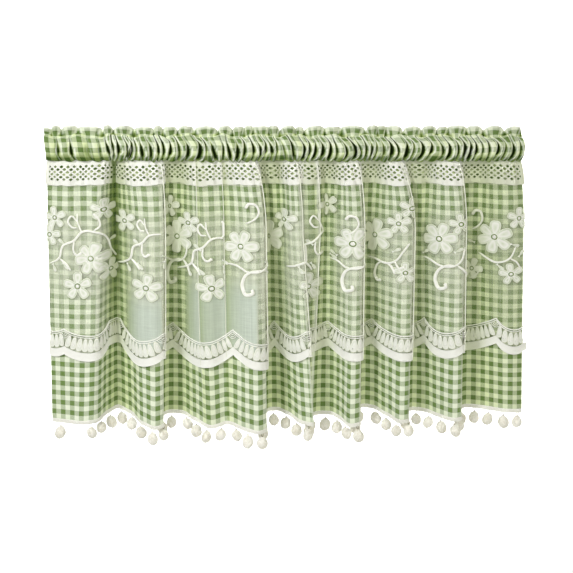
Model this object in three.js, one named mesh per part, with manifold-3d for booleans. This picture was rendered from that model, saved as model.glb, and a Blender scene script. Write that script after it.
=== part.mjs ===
// A gathered window valance: a rod pocket with a standing ruffle, a gingham skirt in
// uneven rolled folds, a scalloped lace flounce over it and a pompom braid on the hem.
//
// Millimetres. X runs across the valance, Z points up and the valance faces -Y.
// The origin is at the middle of the ruffle's top edge.

import * as THREE from 'three';
import { mergeVertices } from 'three/addons/utils/BufferGeometryUtils.js';
import Module from 'manifold-3d';

// ---- Heading -------------------------------------------------------------------
const RUFFLE_HEIGHT = 17;
const RUFFLE_THICKNESS = 2.4;
const RUFFLE_SWING = 5;
const RUFFLE_DIP = 1.6;
const RUFFLE_DIP_PITCH = 37;
// How far the ruffle's wave turns from one gather to the next, in radians.
const RUFFLE_TURN = 1.9;
const POCKET_HEIGHT = 37;
const POCKET_DEPTH = 25;
const POCKET_WALL = 2.2;
const SEAM_HALF_WIDTH = 2.8;
const POCKET_BOTTOM = -(RUFFLE_HEIGHT + POCKET_HEIGHT);
const HEADING_LEFT = -366;
const HEADING_RIGHT = 362;
// The pocket's section bulges more than an ellipse (a power of 1 would be one).
const POCKET_ROUNDNESS = 0.8;
const SEAM_ROLL = 1.2;
const END_PUCKER = 0.3;
// How much of the ruffle's swing is left at its seam.
const RUFFLE_FOOT = 0.2;
// A gather from crease to crease: where along its pitch, and how high it stands.
const GATHER_SHAPE = [
  { part: 0, height: -1 },
  { part: 0.38, height: 1 },
  { part: 0.72, height: 0.4 },
];
// How unlike one another the gathers are in place, depth and bow.
const UNEVEN_PLACE = 0.1;
const UNEVEN_DEPTH = 0.35;
const UNEVEN_BOW = 0.15;
// A gather bows most a little below its middle (a power of 1 would be the middle).
const BOW_LOWNESS = 1.3;

// ---- Skirt ---------------------------------------------------------------------
const SEAM_GAP = 0.4;
const SKIRT_TOP = POCKET_BOTTOM - SEAM_GAP;
const SKIRT_LENGTH = 406;
const SKIRT_THICKNESS = 1.6;
// Rows stand closer together near the seam, where the folds change most.
const SKIRT_ROWS = [0, 0.045, 0.13, 0.26, 0.43, 0.62, 0.81, 1];
// The folds are pinched into the seam and stand free a little way below it.
const SEAM_PINCH = 0.25;
const PINCH_SHARE = 0.045;
// The share of the skirt's length by which a fold has reached its "upper" place.
const UPPER_SHARE = 0.28;
// Folds deepen quickly under the seam (a power below 1) and dip slowly (above 1).
const DEEPENING = 0.7;
const DIPPING = 1.4;
const RULER_MARKS_PER_FOLD = 12;

// ---- Lace ----------------------------------------------------------------------
const LACE_THICKNESS = 1.0;
const LACE_CLEARANCE = 2.2;
const LACE_OFFSET = SKIRT_THICKNESS / 2 + LACE_CLEARANCE + LACE_THICKNESS / 2;
const LACE_SEAM_OFFSET = 1.9;
// A scallop is fuller than half a sine wave (a power of 1 would be one).
const SCALLOP_FULLNESS = 0.8;
const CUSP_ROOM = 0.1;
const LACE_ROWS = [0, 0.055, 0.16, 0.38, 0.68, 1];
const LACE_LEFT_OVERHANG = 1;
const LACE_RIGHT_OVERHANG = 6;

// ---- Pompom braid --------------------------------------------------------------
const BRAID_GAP = 0.4;
const BRAID_HEIGHT = 6;
const BRAID_THICKNESS = 2.4;
const POMPOM_PITCH = 24.6;
const FIRST_POMPOM = 15;
const POMPOM_RADIUS = 8.2;
const POMPOM_LENGTH = 17.5;
// The rings of a ball, top to bottom: share of its length and of its radius.
const BALL_RINGS = [
  { down: 0, wide: 0.55 },
  { down: 0.32, wide: 1 },
  { down: 0.66, wide: 1 },
  { down: 1, wide: 0.6 },
];
const THREAD_IN_BALL = 0.8;
const STUB_LENGTH = 4;
const LOCK_SIDES = 4;
const THREAD_LENGTH = 7;
const THREAD_RADIUS = 0.7;
const THREAD_ROOT = 3;
const LOST_POMPOM = 1;

// The stations that the folds pass through, left to right. top, upper and hem are a
// station's place across at the seam, a quarter of the way down and at the hem;
// fwdTop and fwdHem are how far it stands in front of the cloth's middle plane; drop
// is how much lower than level the hem hangs there.
const FOLDS = [
  { at: 'left selvedge', top: -364, upper: -366, hem: -368, fwdTop: 2, fwdHem: 14, drop: 6 },
  { at: 'A first crest', top: -329, upper: -332, hem: -337, fwdTop: 9, fwdHem: 24, drop: 6 },
  { at: 'A shallow', top: -310, upper: -310, hem: -321, fwdTop: 3, fwdHem: 30, drop: 6 },
  { at: 'A crest', top: -282, upper: -287, hem: -299, fwdTop: 9, fwdHem: 28, drop: 4 },
  { at: 'valley 1 left', top: -268, upper: -273, hem: -282, fwdTop: -5, fwdHem: -2, drop: -2 },
  { at: 'valley 1', top: -259, upper: -262, hem: -267, fwdTop: -9, fwdHem: -22, drop: -4 },
  { at: 'valley 1 right', top: -250, upper: -248, hem: -247, fwdTop: 2, fwdHem: -8, drop: 0 },
  { at: 'B ridge', top: -235, upper: -225, hem: -224, fwdTop: 8, fwdHem: 20, drop: 10 },
  { at: 'B crest', top: -208, upper: -202, hem: -205, fwdTop: 7, fwdHem: 32, drop: 14 },
  { at: 'B edge', top: -191, upper: -188, hem: -192, fwdTop: 3, fwdHem: 24, drop: 12 },
  { at: 'B tuck', top: -186, upper: -193, hem: -199, fwdTop: -4, fwdHem: 2, drop: 6 },
  { at: 'valley 2', top: -178, upper: -180, hem: -186, fwdTop: -8, fwdHem: -17, drop: 3 },
  { at: 'valley 2 right', top: -160, upper: -162, hem: -164, fwdTop: -3, fwdHem: -15, drop: 3 },
  { at: 'C slope', top: -146, upper: -144, hem: -143, fwdTop: 5, fwdHem: 4, drop: 8 },
  { at: 'C crest', top: -130, upper: -125, hem: -117, fwdTop: 9, fwdHem: 26, drop: 14 },
  { at: 'C soft fold', top: -98, upper: -94, hem: -90, fwdTop: 2, fwdHem: 17, drop: 10 },
  { at: 'D rise', top: -76, upper: -64, hem: -62, fwdTop: 6, fwdHem: 35, drop: 15 },
  { at: 'D crest', top: -59, upper: -46, hem: -42, fwdTop: 8, fwdHem: 45, drop: 17 },
  { at: 'D edge', top: -48, upper: -33, hem: -29, fwdTop: 4, fwdHem: 35, drop: 15 },
  { at: 'D tuck', top: -42, upper: -39, hem: -37, fwdTop: -4, fwdHem: 6, drop: 5 },
  { at: 'valley 3', top: -34, upper: -26, hem: -25, fwdTop: -8, fwdHem: -17, drop: -1 },
  { at: 'valley 3 ridge', top: -22, upper: -16, hem: -11, fwdTop: -1, fwdHem: -18, drop: -1 },
  { at: 'valley 3 right', top: -9, upper: -4, hem: 3, fwdTop: -6, fwdHem: -7, drop: 1 },
  { at: 'E crest', top: 7, upper: 12, hem: 28, fwdTop: 6, fwdHem: 19, drop: 9 },
  { at: 'E edge', top: 17, upper: 25, hem: 45, fwdTop: 4, fwdHem: 26, drop: 10 },
  { at: 'E tuck', top: 23, upper: 27, hem: 39, fwdTop: -1, fwdHem: 11, drop: 7 },
  { at: 'F face', top: 34, upper: 38, hem: 34, fwdTop: 5, fwdHem: 1, drop: 6 },
  { at: 'F edge', top: 48, upper: 52, hem: 41, fwdTop: 3, fwdHem: -8, drop: 5 },
  { at: 'valley 4', top: 60, upper: 60, hem: 55, fwdTop: -8, fwdHem: -17, drop: 5 },
  { at: 'valley 4 right', top: 74, upper: 72, hem: 74, fwdTop: -5, fwdHem: -12, drop: 4 },
  { at: 'G slope', top: 86, upper: 86, hem: 86, fwdTop: 4, fwdHem: 4, drop: 5 },
  { at: 'G crest', top: 98, upper: 105, hem: 103, fwdTop: 7, fwdHem: 31, drop: 10 },
  { at: 'G edge', top: 109, upper: 119, hem: 118, fwdTop: 3, fwdHem: 26, drop: 8 },
  { at: 'G tuck', top: 115, upper: 114, hem: 112, fwdTop: -4, fwdHem: 3, drop: 0 },
  { at: 'valley 5', top: 126, upper: 124, hem: 123, fwdTop: -8, fwdHem: -17, drop: -7 },
  { at: 'valley 5 right', top: 143, upper: 138, hem: 141, fwdTop: -7, fwdHem: -14, drop: -6 },
  { at: 'H slope', top: 155, upper: 156, hem: 160, fwdTop: 4, fwdHem: 5, drop: -1 },
  { at: 'H crest', top: 166, upper: 183, hem: 182, fwdTop: 7, fwdHem: 27, drop: 5 },
  { at: 'H edge', top: 176, upper: 197, hem: 195, fwdTop: 3, fwdHem: 23, drop: 4 },
  { at: 'H tuck', top: 182, upper: 192, hem: 189, fwdTop: -4, fwdHem: 3, drop: 0 },
  { at: 'valley 6', top: 190, upper: 200, hem: 201, fwdTop: -7, fwdHem: -16, drop: -2 },
  { at: 'valley 6 ridge', top: 204, upper: 209, hem: 214, fwdTop: -1, fwdHem: -17, drop: -1 },
  { at: 'valley 6 right', top: 222, upper: 219, hem: 227, fwdTop: -7, fwdHem: -9, drop: -1 },
  { at: 'I slope', top: 235, upper: 234, hem: 241, fwdTop: 4, fwdHem: 7, drop: 0 },
  { at: 'I crest', top: 253, upper: 264, hem: 265, fwdTop: 7, fwdHem: 26, drop: 2 },
  { at: 'I edge', top: 264, upper: 276, hem: 278, fwdTop: 3, fwdHem: 22, drop: 1 },
  { at: 'I tuck', top: 270, upper: 271, hem: 273, fwdTop: -4, fwdHem: 2, drop: -3 },
  { at: 'valley 7', top: 279, upper: 282, hem: 286, fwdTop: -8, fwdHem: -16, drop: -7 },
  { at: 'valley 7 right', top: 303, upper: 303, hem: 309, fwdTop: -5, fwdHem: -12, drop: -7 },
  { at: 'J slope', top: 317, upper: 322, hem: 331, fwdTop: 4, fwdHem: 2, drop: -8 },
  { at: 'J crest', top: 341, upper: 347, hem: 354, fwdTop: 7, fwdHem: 12, drop: -8 },
  { at: 'right selvedge', top: 360, upper: 369, hem: 375, fwdTop: 2, fwdHem: 4, drop: -6 },
];

// The lace border's scallops. A scallop runs from its own row's cusp to the next
// row's; across is the cusp's place along the hem, cusp and low are how far the lace
// hangs below the ruffle's top edge at the cusp and at the scallop's lowest.
const SCALLOPS = [
  { across: -368, cusp: 362, low: 363 },
  { across: -345, cusp: 358, low: 368 },
  { across: -284, cusp: 351, low: 350 },
  { across: -256, cusp: 351, low: 378 },
  { across: -195, cusp: 365, low: 366 },
  { across: -178, cusp: 357, low: 381 },
  { across: -78, cusp: 359, low: 380 },
  { across: -14, cusp: 354, low: 374 },
  { across: 42, cusp: 362, low: 362 },
  { across: 70, cusp: 354, low: 368 },
  { across: 139, cusp: 350, low: 369 },
  { across: 224, cusp: 347, low: 366 },
  { across: 276, cusp: 356, low: 362 },
  { across: 336, cusp: 344, low: 361 },
  { across: 375, cusp: 357, low: 357 },
];

// Stretches of the pocket with their gathers: how many, how deep the ridges stand,
// how far a ridge bows to the right in its middle, and how far the ruffle waves.
const GATHERS = [
  { until: -272, count: 5, relief: 1.3, bow: 1.5, wave: 0.5 },
  { until: -240, count: 4, relief: 2.8, bow: 2.0, wave: 0.9 },
  { until: -186, count: 4, relief: 2.1, bow: 3.0, wave: 0.7 },
  { until: -132, count: 4, relief: 2.5, bow: 3.8, wave: 1.0 },
  { until: -36, count: 7, relief: 2.6, bow: 4.4, wave: 0.9 },
  { until: 24, count: 4, relief: 2.4, bow: 4.6, wave: 1.0 },
  { until: 86, count: 5, relief: 2.8, bow: 5.0, wave: 1.0 },
  { until: 178, count: 7, relief: 2.7, bow: 5.0, wave: 0.8 },
  { until: 276, count: 7, relief: 2.6, bow: 4.6, wave: 1.0 },
  { until: HEADING_RIGHT, count: 6, relief: 2.5, bow: 4.0, wave: 1.0 },
];

const gingham = new THREE.MeshStandardMaterial({ color: '#9bb57c', roughness: 0.9, metalness: 0 });
const ginghamHeading = new THREE.MeshStandardMaterial({ color: '#8fac6c', roughness: 0.9, metalness: 0 });
const lace = new THREE.MeshStandardMaterial({ color: '#eef0e2', roughness: 0.85, metalness: 0 });
const braid = new THREE.MeshStandardMaterial({ color: '#e9e5d4', roughness: 0.95, metalness: 0 });

// ---- Closed meshes -------------------------------------------------------------

function closedGeometry(points, triangles) {
  const geometry = new THREE.BufferGeometry();
  geometry.setAttribute('position', new THREE.Float32BufferAttribute(points.flat(), 3));
  geometry.setIndex(triangles.flat());
  return mergeVertices(geometry, 1e-4);
}

// The two triangles of a quad whose corners run anticlockwise seen from outside.
function quad(a, b, c, d) {
  return [[a, b, c], [a, c, d]];
}

// A closed sheet from two grids of the same size, grid[column][row] = [x, y, z]:
// front faces -Y, back is the other side of the cloth.
function sheetGeometry(front, back) {
  const columns = front.length;
  const rows = front[0].length;
  const points = [...front.flat(), ...back.flat()];
  const fore = (column, row) => column * rows + row;
  const aft = (column, row) => columns * rows + column * rows + row;
  const triangles = [];
  for (let column = 0; column < columns - 1; column += 1) {
    for (let row = 0; row < rows - 1; row += 1) {
      triangles.push(...quad(
        fore(column, row), fore(column, row + 1), fore(column + 1, row + 1), fore(column + 1, row)));
      triangles.push(...quad(
        aft(column, row), aft(column + 1, row), aft(column + 1, row + 1), aft(column, row + 1)));
    }
    triangles.push(...quad(
      fore(column, 0), fore(column + 1, 0), aft(column + 1, 0), aft(column, 0)));
    triangles.push(...quad(
      fore(column, rows - 1), aft(column, rows - 1),
      aft(column + 1, rows - 1), fore(column + 1, rows - 1)));
  }
  for (let row = 0; row < rows - 1; row += 1) {
    const last = columns - 1;
    triangles.push(...quad(fore(0, row), aft(0, row), aft(0, row + 1), fore(0, row + 1)));
    triangles.push(...quad(
      fore(last, row), fore(last, row + 1), aft(last, row + 1), aft(last, row)));
  }
  return closedGeometry(points, triangles);
}

// ---- The hanging surface of the skirt ------------------------------------------

function stationPoint(fold, share) {
  const early = 1 - (1 - Math.min(share / UPPER_SHARE, 1)) ** 2;
  const late = Math.max((share - UPPER_SHARE) / (1 - UPPER_SHARE), 0);
  const across = fold.top + (fold.upper - fold.top) * early + (fold.hem - fold.upper) * late;
  const forward = fold.fwdTop + (fold.fwdHem - fold.fwdTop) * share ** DEEPENING;
  const freed = THREE.MathUtils.smoothstep(share, 0, PINCH_SHARE);
  return new THREE.Vector3(across, -forward * THREE.MathUtils.lerp(SEAM_PINCH, 1, freed), 0);
}

// The plan curve of the folds at a share of the skirt's length, seam 0 to hem 1.
function foldLine(share) {
  const points = FOLDS.map((fold) => stationPoint(fold, share));
  return new THREE.CatmullRomCurve3(points, false, 'centripetal');
}

// A point of the cloth in plan: along is 0 to 1 over the fold stations, offset is how
// far in front of the cloth's middle it lies, square to the fold, and reach is how far
// past a selvedge.
function clothPoint(line, along, offset, reach = 0) {
  const point = line.getPoint(along);
  const tangent = line.getTangent(along);
  return [
    point.x + tangent.x * reach + tangent.y * offset,
    point.y + tangent.y * reach - tangent.x * offset,
  ];
}

function hemDrop(along) {
  const place = along * (FOLDS.length - 1);
  const index = Math.min(Math.floor(place), FOLDS.length - 2);
  const part = THREE.MathUtils.smoothstep(place - index, 0, 1);
  return THREE.MathUtils.lerp(FOLDS[index].drop, FOLDS[index + 1].drop, part);
}

function clothHeight(along, share) {
  return SKIRT_TOP - SKIRT_LENGTH * share - hemDrop(along) * share ** DIPPING;
}

function skirtShare(height) {
  return THREE.MathUtils.clamp((SKIRT_TOP - height) / SKIRT_LENGTH, 0, 1);
}

// The cloth laid flat along its hem: how many millimetres lie left of each place.
const HEM_LINE = foldLine(1);
const RULER_STEPS = RULER_MARKS_PER_FOLD * (FOLDS.length - 1);
const RULER = HEM_LINE.getPoints(RULER_STEPS).reduce((marks, point, index, points) => {
  const step = index === 0 ? 0 : point.distanceTo(points[index - 1]);
  const flat = index === 0 ? 0 : marks[index - 1].flat + step;
  return [...marks, { flat, point }];
}, []);
const FLAT_WIDTH = RULER[RULER_STEPS].flat;

function flatAt(along) {
  const place = along * RULER_STEPS;
  const index = Math.min(Math.floor(place), RULER_STEPS - 1);
  return THREE.MathUtils.lerp(RULER[index].flat, RULER[index + 1].flat, place - index);
}

function alongAt(flat) {
  const index = Math.min(RULER.findIndex((mark) => mark.flat >= flat), RULER_STEPS);
  const after = Math.max(index, 1);
  const span = RULER[after].flat - RULER[after - 1].flat;
  return (after - 1 + (flat - RULER[after - 1].flat) / span) / RULER_STEPS;
}

// The place along the cloth that is seen at a distance across the hem: of the layers
// that lie behind one another there, the foremost.
function alongSeenAt(across) {
  const layers = RULER
    .map((mark, index) => ({ index, miss: Math.abs(mark.point.x - across), depth: mark.point.y }))
    .map((layer) => ({ ...layer, rank: layer.miss + layer.depth / 20 }))
    .sort((one, other) => one.rank - other.rank);
  return layers[0].index / RULER_STEPS;
}

// Each fold station and the middle between two of them.
function skirtColumns() {
  const steps = 2 * (FOLDS.length - 1);
  return Array.from({ length: steps + 1 }, (unused, index) => index / steps);
}

function skirtGeometry() {
  const lines = SKIRT_ROWS.map(foldLine);
  const side = (offset) => skirtColumns().map((along) => SKIRT_ROWS.map((share, row) => [
    ...clothPoint(lines[row], along, offset),
    clothHeight(along, share),
  ]));
  return sheetGeometry(side(SKIRT_THICKNESS / 2), side(-SKIRT_THICKNESS / 2));
}

// ---- The lace flounce ----------------------------------------------------------

const CUSPS = SCALLOPS.map((scallop) => ({ ...scallop, flat: flatAt(alongSeenAt(scallop.across)) }));

// How far the lace hangs below the ruffle's top edge, with its scallops.
function laceHang(along) {
  const flat = flatAt(along);
  const index = Math.max(CUSPS.findLastIndex((cusp) => cusp.flat <= flat), 0);
  const left = CUSPS[Math.min(index, CUSPS.length - 2)];
  const right = CUSPS[Math.min(index + 1, CUSPS.length - 1)];
  const part = THREE.MathUtils.clamp((flat - left.flat) / (right.flat - left.flat), 0, 1);
  const chord = THREE.MathUtils.lerp(left.cusp, right.cusp, part);
  const sag = left.low - (left.cusp + right.cusp) / 2;
  return chord + sag * Math.sin(Math.PI * part) ** SCALLOP_FULLNESS;
}

// The skirt's columns, with one at every cusp in place of its nearest neighbour.
function laceColumns() {
  const cusps = CUSPS.map((cusp) => alongAt(cusp.flat));
  const between = skirtColumns()
    .filter((along) => cusps.every((cusp) => Math.abs(cusp - along) * FOLDS.length > CUSP_ROOM));
  const inner = cusps.filter((cusp) => cusp > 0 && cusp < 1);
  const columns = [...new Set([0, ...between, ...inner, 1])].sort((one, other) => one - other);
  return [
    { along: 0, reach: -LACE_LEFT_OVERHANG },
    ...columns.map((along) => ({ along, reach: 0 })),
    { along: 1, reach: LACE_RIGHT_OVERHANG },
  ];
}

function laceGeometry() {
  const side = (half) => laceColumns().map(({ along, reach }) => {
    const hang = laceHang(along);
    return LACE_ROWS.map((part) => {
      const height = THREE.MathUtils.lerp(SKIRT_TOP, -hang, part);
      const share = skirtShare(height);
      const freed = THREE.MathUtils.smoothstep(share, 0, PINCH_SHARE);
      const offset = THREE.MathUtils.lerp(LACE_SEAM_OFFSET, LACE_OFFSET, freed) + half;
      return [...clothPoint(foldLine(share), along, offset, reach), height];
    });
  });
  return sheetGeometry(side(LACE_THICKNESS / 2), side(-LACE_THICKNESS / 2));
}

// ---- The heading: ruffle and rod pocket ----------------------------------------

// Every crease, ridge and shoulder of the gathers, left to right.
function gatherColumns() {
  const columns = [];
  let left = HEADING_LEFT;
  let number = 0;
  for (const stretch of GATHERS) {
    const pitch = (stretch.until - left) / stretch.count;
    for (let gather = 0; gather < stretch.count; gather += 1) {
      const uneven = Math.sin(number * 2.4) * Math.cos(number * 0.9);
      const shift = gather === 0 ? 0 : UNEVEN_PLACE * uneven;
      for (const { part, height } of GATHER_SHAPE) {
        columns.push({
          x: left + pitch * (gather + part + shift),
          relief: height * stretch.relief * (1 + UNEVEN_DEPTH * uneven),
          bow: stretch.bow * (1 + UNEVEN_BOW * uneven),
          wave: stretch.wave * Math.sin((number + part) * RUFFLE_TURN + uneven),
        });
      }
      number += 1;
    }
    left = stretch.until;
  }
  columns.push({ x: HEADING_RIGHT, relief: 0, bow: GATHERS.at(-1).bow, wave: 0 });
  return columns;
}

// The pocket's own section, as angles from the top seam round the front, the bottom
// seam and the back.
const BACK_ANGLES = [322, 294, 260, 228];
const FRONT_ANGLES = [132, 100, 66, 38];
const INNER_ANGLES = [0, 60, 120, 180, 240, 300];

function pocketPoint(column, degrees, inset) {
  const angle = THREE.MathUtils.degToRad(degrees);
  const round = (value) => Math.sign(value) * Math.abs(value) ** POCKET_ROUNDNESS;
  const facing = Math.abs(Math.sin(angle));
  const halfDepth = POCKET_DEPTH / 2 + column.relief * facing - inset;
  const pucker = column.relief * END_PUCKER * (1 - facing);
  const halfHeight = POCKET_HEIGHT / 2 - SEAM_ROLL + pucker - inset;
  const middle = -(RUFFLE_HEIGHT + POCKET_HEIGHT / 2);
  const down = (1 - Math.cos(angle)) / 2;
  return [
    column.x + column.bow * Math.sin(Math.PI * down ** BOW_LOWNESS),
    -halfDepth * round(Math.sin(angle)),
    middle + halfHeight * round(Math.cos(angle)),
  ];
}

// The outline of the heading at one column: up the ruffle's front from the seam, over
// its edge, down its back and round the pocket.
function headingOutline(column) {
  const seam = -RUFFLE_HEIGHT;
  const swing = RUFFLE_SWING * column.wave;
  const edge = RUFFLE_DIP * (Math.cos(2 * Math.PI * column.x / RUFFLE_DIP_PITCH) - 1);
  const half = RUFFLE_THICKNESS / 2;
  return [
    [column.x, swing * RUFFLE_FOOT - half, seam],
    [column.x, swing - half, edge],
    [column.x, swing + half, edge],
    [column.x, swing * RUFFLE_FOOT + half, seam],
    ...BACK_ANGLES.map((degrees) => pocketPoint(column, degrees, 0)),
    [column.x, SEAM_HALF_WIDTH, POCKET_BOTTOM],
    [column.x, -SEAM_HALF_WIDTH, POCKET_BOTTOM],
    ...FRONT_ANGLES.map((degrees) => pocketPoint(column, degrees, 0)),
  ];
}

function channelOutline(column) {
  return INNER_ANGLES.toReversed().map((degrees) => pocketPoint(column, degrees, POCKET_WALL));
}

// The flat between an outline and its hole, facing along X the way that side says.
function endCap(outline, hole, side) {
  const flat = (loop) => loop.map(([, y, z]) => new THREE.Vector2(y, z));
  const corners = [...flat(outline), ...flat(hole)];
  return THREE.ShapeUtils.triangulateShape(flat(outline), [flat(hole)]).map(([a, b, c]) => {
    const turn = corners[b].clone().sub(corners[a]).cross(corners[c].clone().sub(corners[a]));
    return turn * side > 0 ? [a, b, c] : [a, c, b];
  });
}

// A tube through many columns that share an outline and one hole, with its two ends
// closed by the flat between outline and hole.
function holedTubeGeometry(outlines, holes) {
  const outer = outlines[0].length;
  const inner = holes[0].length;
  const stride = outer + inner;
  const points = outlines.flatMap((outline, index) => [...outline, ...holes[index]]);
  const triangles = [];
  for (let column = 0; column < outlines.length - 1; column += 1) {
    const here = column * stride;
    const next = here + stride;
    for (let step = 0; step < outer; step += 1) {
      const after = (step + 1) % outer;
      triangles.push(...quad(here + step, next + step, next + after, here + after));
    }
    for (let step = 0; step < inner; step += 1) {
      const after = (step + 1) % inner;
      const hole = here + outer;
      triangles.push(...quad(
        hole + step, hole + after, hole + stride + after, hole + stride + step));
    }
  }
  const last = (outlines.length - 1) * stride;
  triangles.push(...endCap(outlines[0], holes[0], -1));
  triangles.push(...endCap(outlines.at(-1), holes.at(-1), 1).map((corners) => (
    corners.map((corner) => corner + last))));
  return closedGeometry(points, triangles);
}

function headingGeometry() {
  const columns = gatherColumns();
  return holedTubeGeometry(columns.map(headingOutline), columns.map(channelOutline));
}

// ---- The pompom braid ----------------------------------------------------------

function braidGeometry() {
  const side = (offset) => skirtColumns().map((along) => {
    const top = clothHeight(along, 1) - BRAID_GAP;
    const plan = clothPoint(HEM_LINE, along, offset);
    return [[...plan, top], [...plan, top - BRAID_HEIGHT]];
  });
  return sheetGeometry(side(BRAID_THICKNESS / 2), side(-BRAID_THICKNESS / 2));
}

// The corners of a lock's ring: every second ring of a ball is turned half a side, so
// that the ball reads round.
function lockRing({ radius, height, turned }) {
  return Array.from({ length: LOCK_SIDES }, (unused, corner) => {
    const angle = (corner + (turned ? 0.5 : 0)) * 2 * Math.PI / LOCK_SIDES;
    return [radius * Math.cos(angle), radius * Math.sin(angle), height];
  });
}

// A pompom on its thread, or the bare stub of a lost one, hanging from the origin.
function pompomGeometry(isLost) {
  const ball = BALL_RINGS.map(({ down, wide }, ring) => ({
    radius: POMPOM_RADIUS * wide,
    height: -THREAD_LENGTH - POMPOM_LENGTH * down,
    turned: ring % 2 === 0,
  }));
  const threadEnd = isLost ? -STUB_LENGTH : THREAD_IN_BALL - THREAD_LENGTH;
  const thread = [THREAD_ROOT, threadEnd].map((height) => ({ radius: THREAD_RADIUS, height }));
  const rings = isLost ? thread : [...thread, ...ball];
  const points = rings.flatMap(lockRing);
  const triangles = [[0, 1, 2], [0, 2, 3]];
  for (let upper = 0; upper < points.length - LOCK_SIDES; upper += LOCK_SIDES) {
    const lower = upper + LOCK_SIDES;
    for (let corner = 0; corner < LOCK_SIDES; corner += 1) {
      const after = (corner + 1) % LOCK_SIDES;
      triangles.push(...quad(upper + corner, lower + corner, lower + after, upper + after));
    }
  }
  const end = points.length - LOCK_SIDES;
  triangles.push([end, end + 2, end + 1], [end, end + 3, end + 2]);
  return closedGeometry(points, triangles);
}

// ---- Joining with manifold -----------------------------------------------------

const wasm = await Module();
wasm.setup();

function toSolid(geometry) {
  return new wasm.Manifold(new wasm.Mesh({
    numProp: 3,
    vertProperties: new Float32Array(geometry.attributes.position.array),
    triVerts: new Uint32Array(geometry.index.array),
  }));
}

function fromSolid(solid) {
  const mesh = solid.getMesh();
  const geometry = new THREE.BufferGeometry();
  geometry.setAttribute('position', new THREE.BufferAttribute(new Float32Array(mesh.vertProperties), 3));
  geometry.setIndex(new THREE.BufferAttribute(new Uint32Array(mesh.triVerts), 1));
  return geometry;
}

// The braid with its pompoms at an even pitch along the flat cloth.
function fringeGeometry() {
  let fringe = toSolid(braidGeometry());
  const count = Math.floor((FLAT_WIDTH - FIRST_POMPOM) / POMPOM_PITCH) + 1;
  for (let number = 0; number < count; number += 1) {
    const along = alongAt(FIRST_POMPOM + POMPOM_PITCH * number);
    const [x, y] = clothPoint(HEM_LINE, along, 0);
    const root = clothHeight(along, 1) - BRAID_GAP - BRAID_HEIGHT;
    const pompom = pompomGeometry(number === LOST_POMPOM);
    pompom.translate(x, y, root);
    fringe = fringe.add(toSolid(pompom));
  }
  return fromSolid(fringe);
}

// ---- The valance ---------------------------------------------------------------

function piece(name, geometry, material) {
  const mesh = new THREE.Mesh(geometry, material);
  mesh.name = name;
  return mesh;
}

const valance = new THREE.Group();
valance.add(piece('heading', headingGeometry(), ginghamHeading));
valance.add(piece('gingham_panel', skirtGeometry(), gingham));
valance.add(piece('lace_overlay', laceGeometry(), lace));
valance.add(piece('pompom_fringe', fringeGeometry(), braid));

export default valance;
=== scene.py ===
# The dress of a gathered window valance: gingham heading and skirt, a lace flounce of
# openwork band, net, flowers, vines and a fan border, and a gimp braid with pompoms.
# All sizes are in millimetres until a mesh is written.

import math

import bpy
import numpy as np
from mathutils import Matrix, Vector


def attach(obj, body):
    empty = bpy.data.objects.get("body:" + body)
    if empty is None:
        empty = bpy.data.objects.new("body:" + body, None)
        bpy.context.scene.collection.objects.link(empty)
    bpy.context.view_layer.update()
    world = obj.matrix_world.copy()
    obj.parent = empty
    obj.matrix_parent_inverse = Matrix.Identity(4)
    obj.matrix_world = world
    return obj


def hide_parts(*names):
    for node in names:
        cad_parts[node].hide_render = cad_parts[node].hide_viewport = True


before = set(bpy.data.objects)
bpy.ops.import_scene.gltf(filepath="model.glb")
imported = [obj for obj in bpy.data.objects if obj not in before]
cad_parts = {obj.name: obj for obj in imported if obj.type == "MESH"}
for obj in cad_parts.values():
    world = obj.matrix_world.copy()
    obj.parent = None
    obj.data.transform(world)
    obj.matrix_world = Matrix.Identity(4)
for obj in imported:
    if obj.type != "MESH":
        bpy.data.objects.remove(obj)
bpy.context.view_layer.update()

# A millimetre in metres, and how close, in millimetres, points lie that are merged.
MM = 0.001
WELD = 0.03
rng = np.random.default_rng(26)

# ---- Sizes ---------------------------------------------------------------------

# The gingham: its thickness, and one green and one cream stripe each way.
CLOTH = 0.6
CHECK_WIDTH = 15.6
CHECK_HEIGHT = 15.3

# The heading. Its ruffle swings front to back and dips between its lobes.
RUFFLE_HEIGHT = 17
RUFFLE_SWING = 6.8
RUFFLE_SLIP = 2.4
RUFFLE_DIP = 9.0
POCKET_HEIGHT = 37
POCKET_DEPTH = 25
POCKET_ROUNDNESS = 0.8
SEAM_HALF_WIDTH = 2.4

# The skirt: how flat the seam holds the folds, to what share of its length they are held
# so, how far apart the seam's small gathers are, how far down the second stations stand,
# and how soon the folds deepen and the hem's dips begin on the way down.
SKIRT_TOP = RUFFLE_HEIGHT + POCKET_HEIGHT + 0.4
SKIRT_LENGTH = 406
SEAM_PINCH = 0.25
PINCH_SHARE = 0.045
GATHER_PITCH = 15.5
UPPER_SHARE = 0.28
DEEPENING = 0.7
DIPPING = 1.4

# The lace: its thickness and the net's, how far in front of the gingham it hangs, how far
# past the gingham's right edge, and the sizes of its openwork band and its border.
LACE = 0.9
NET = 0.3
LACE_OFFSET = 3.5
LACE_SEAM_OFFSET = 1.9
LACE_OVERHANG = 5
BAND_OVERHANG = 2
BAND_HEIGHT = 36
EDGING = 5.0
HOLE_PITCH = 9.6
HOLE_ROW = 3.75
HOLE_ROWS = 6
HOLE_WIDE = 2.8
HOLE_HIGH = 2.2
BORDER_HEIGHT = 40
BORDER_BAND = 12.5
SCALLOP_FULLNESS = 0.8
STICK_PITCH = 9.2
ARC_RADII = (3.2, 6.2, 9.2)

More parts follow.
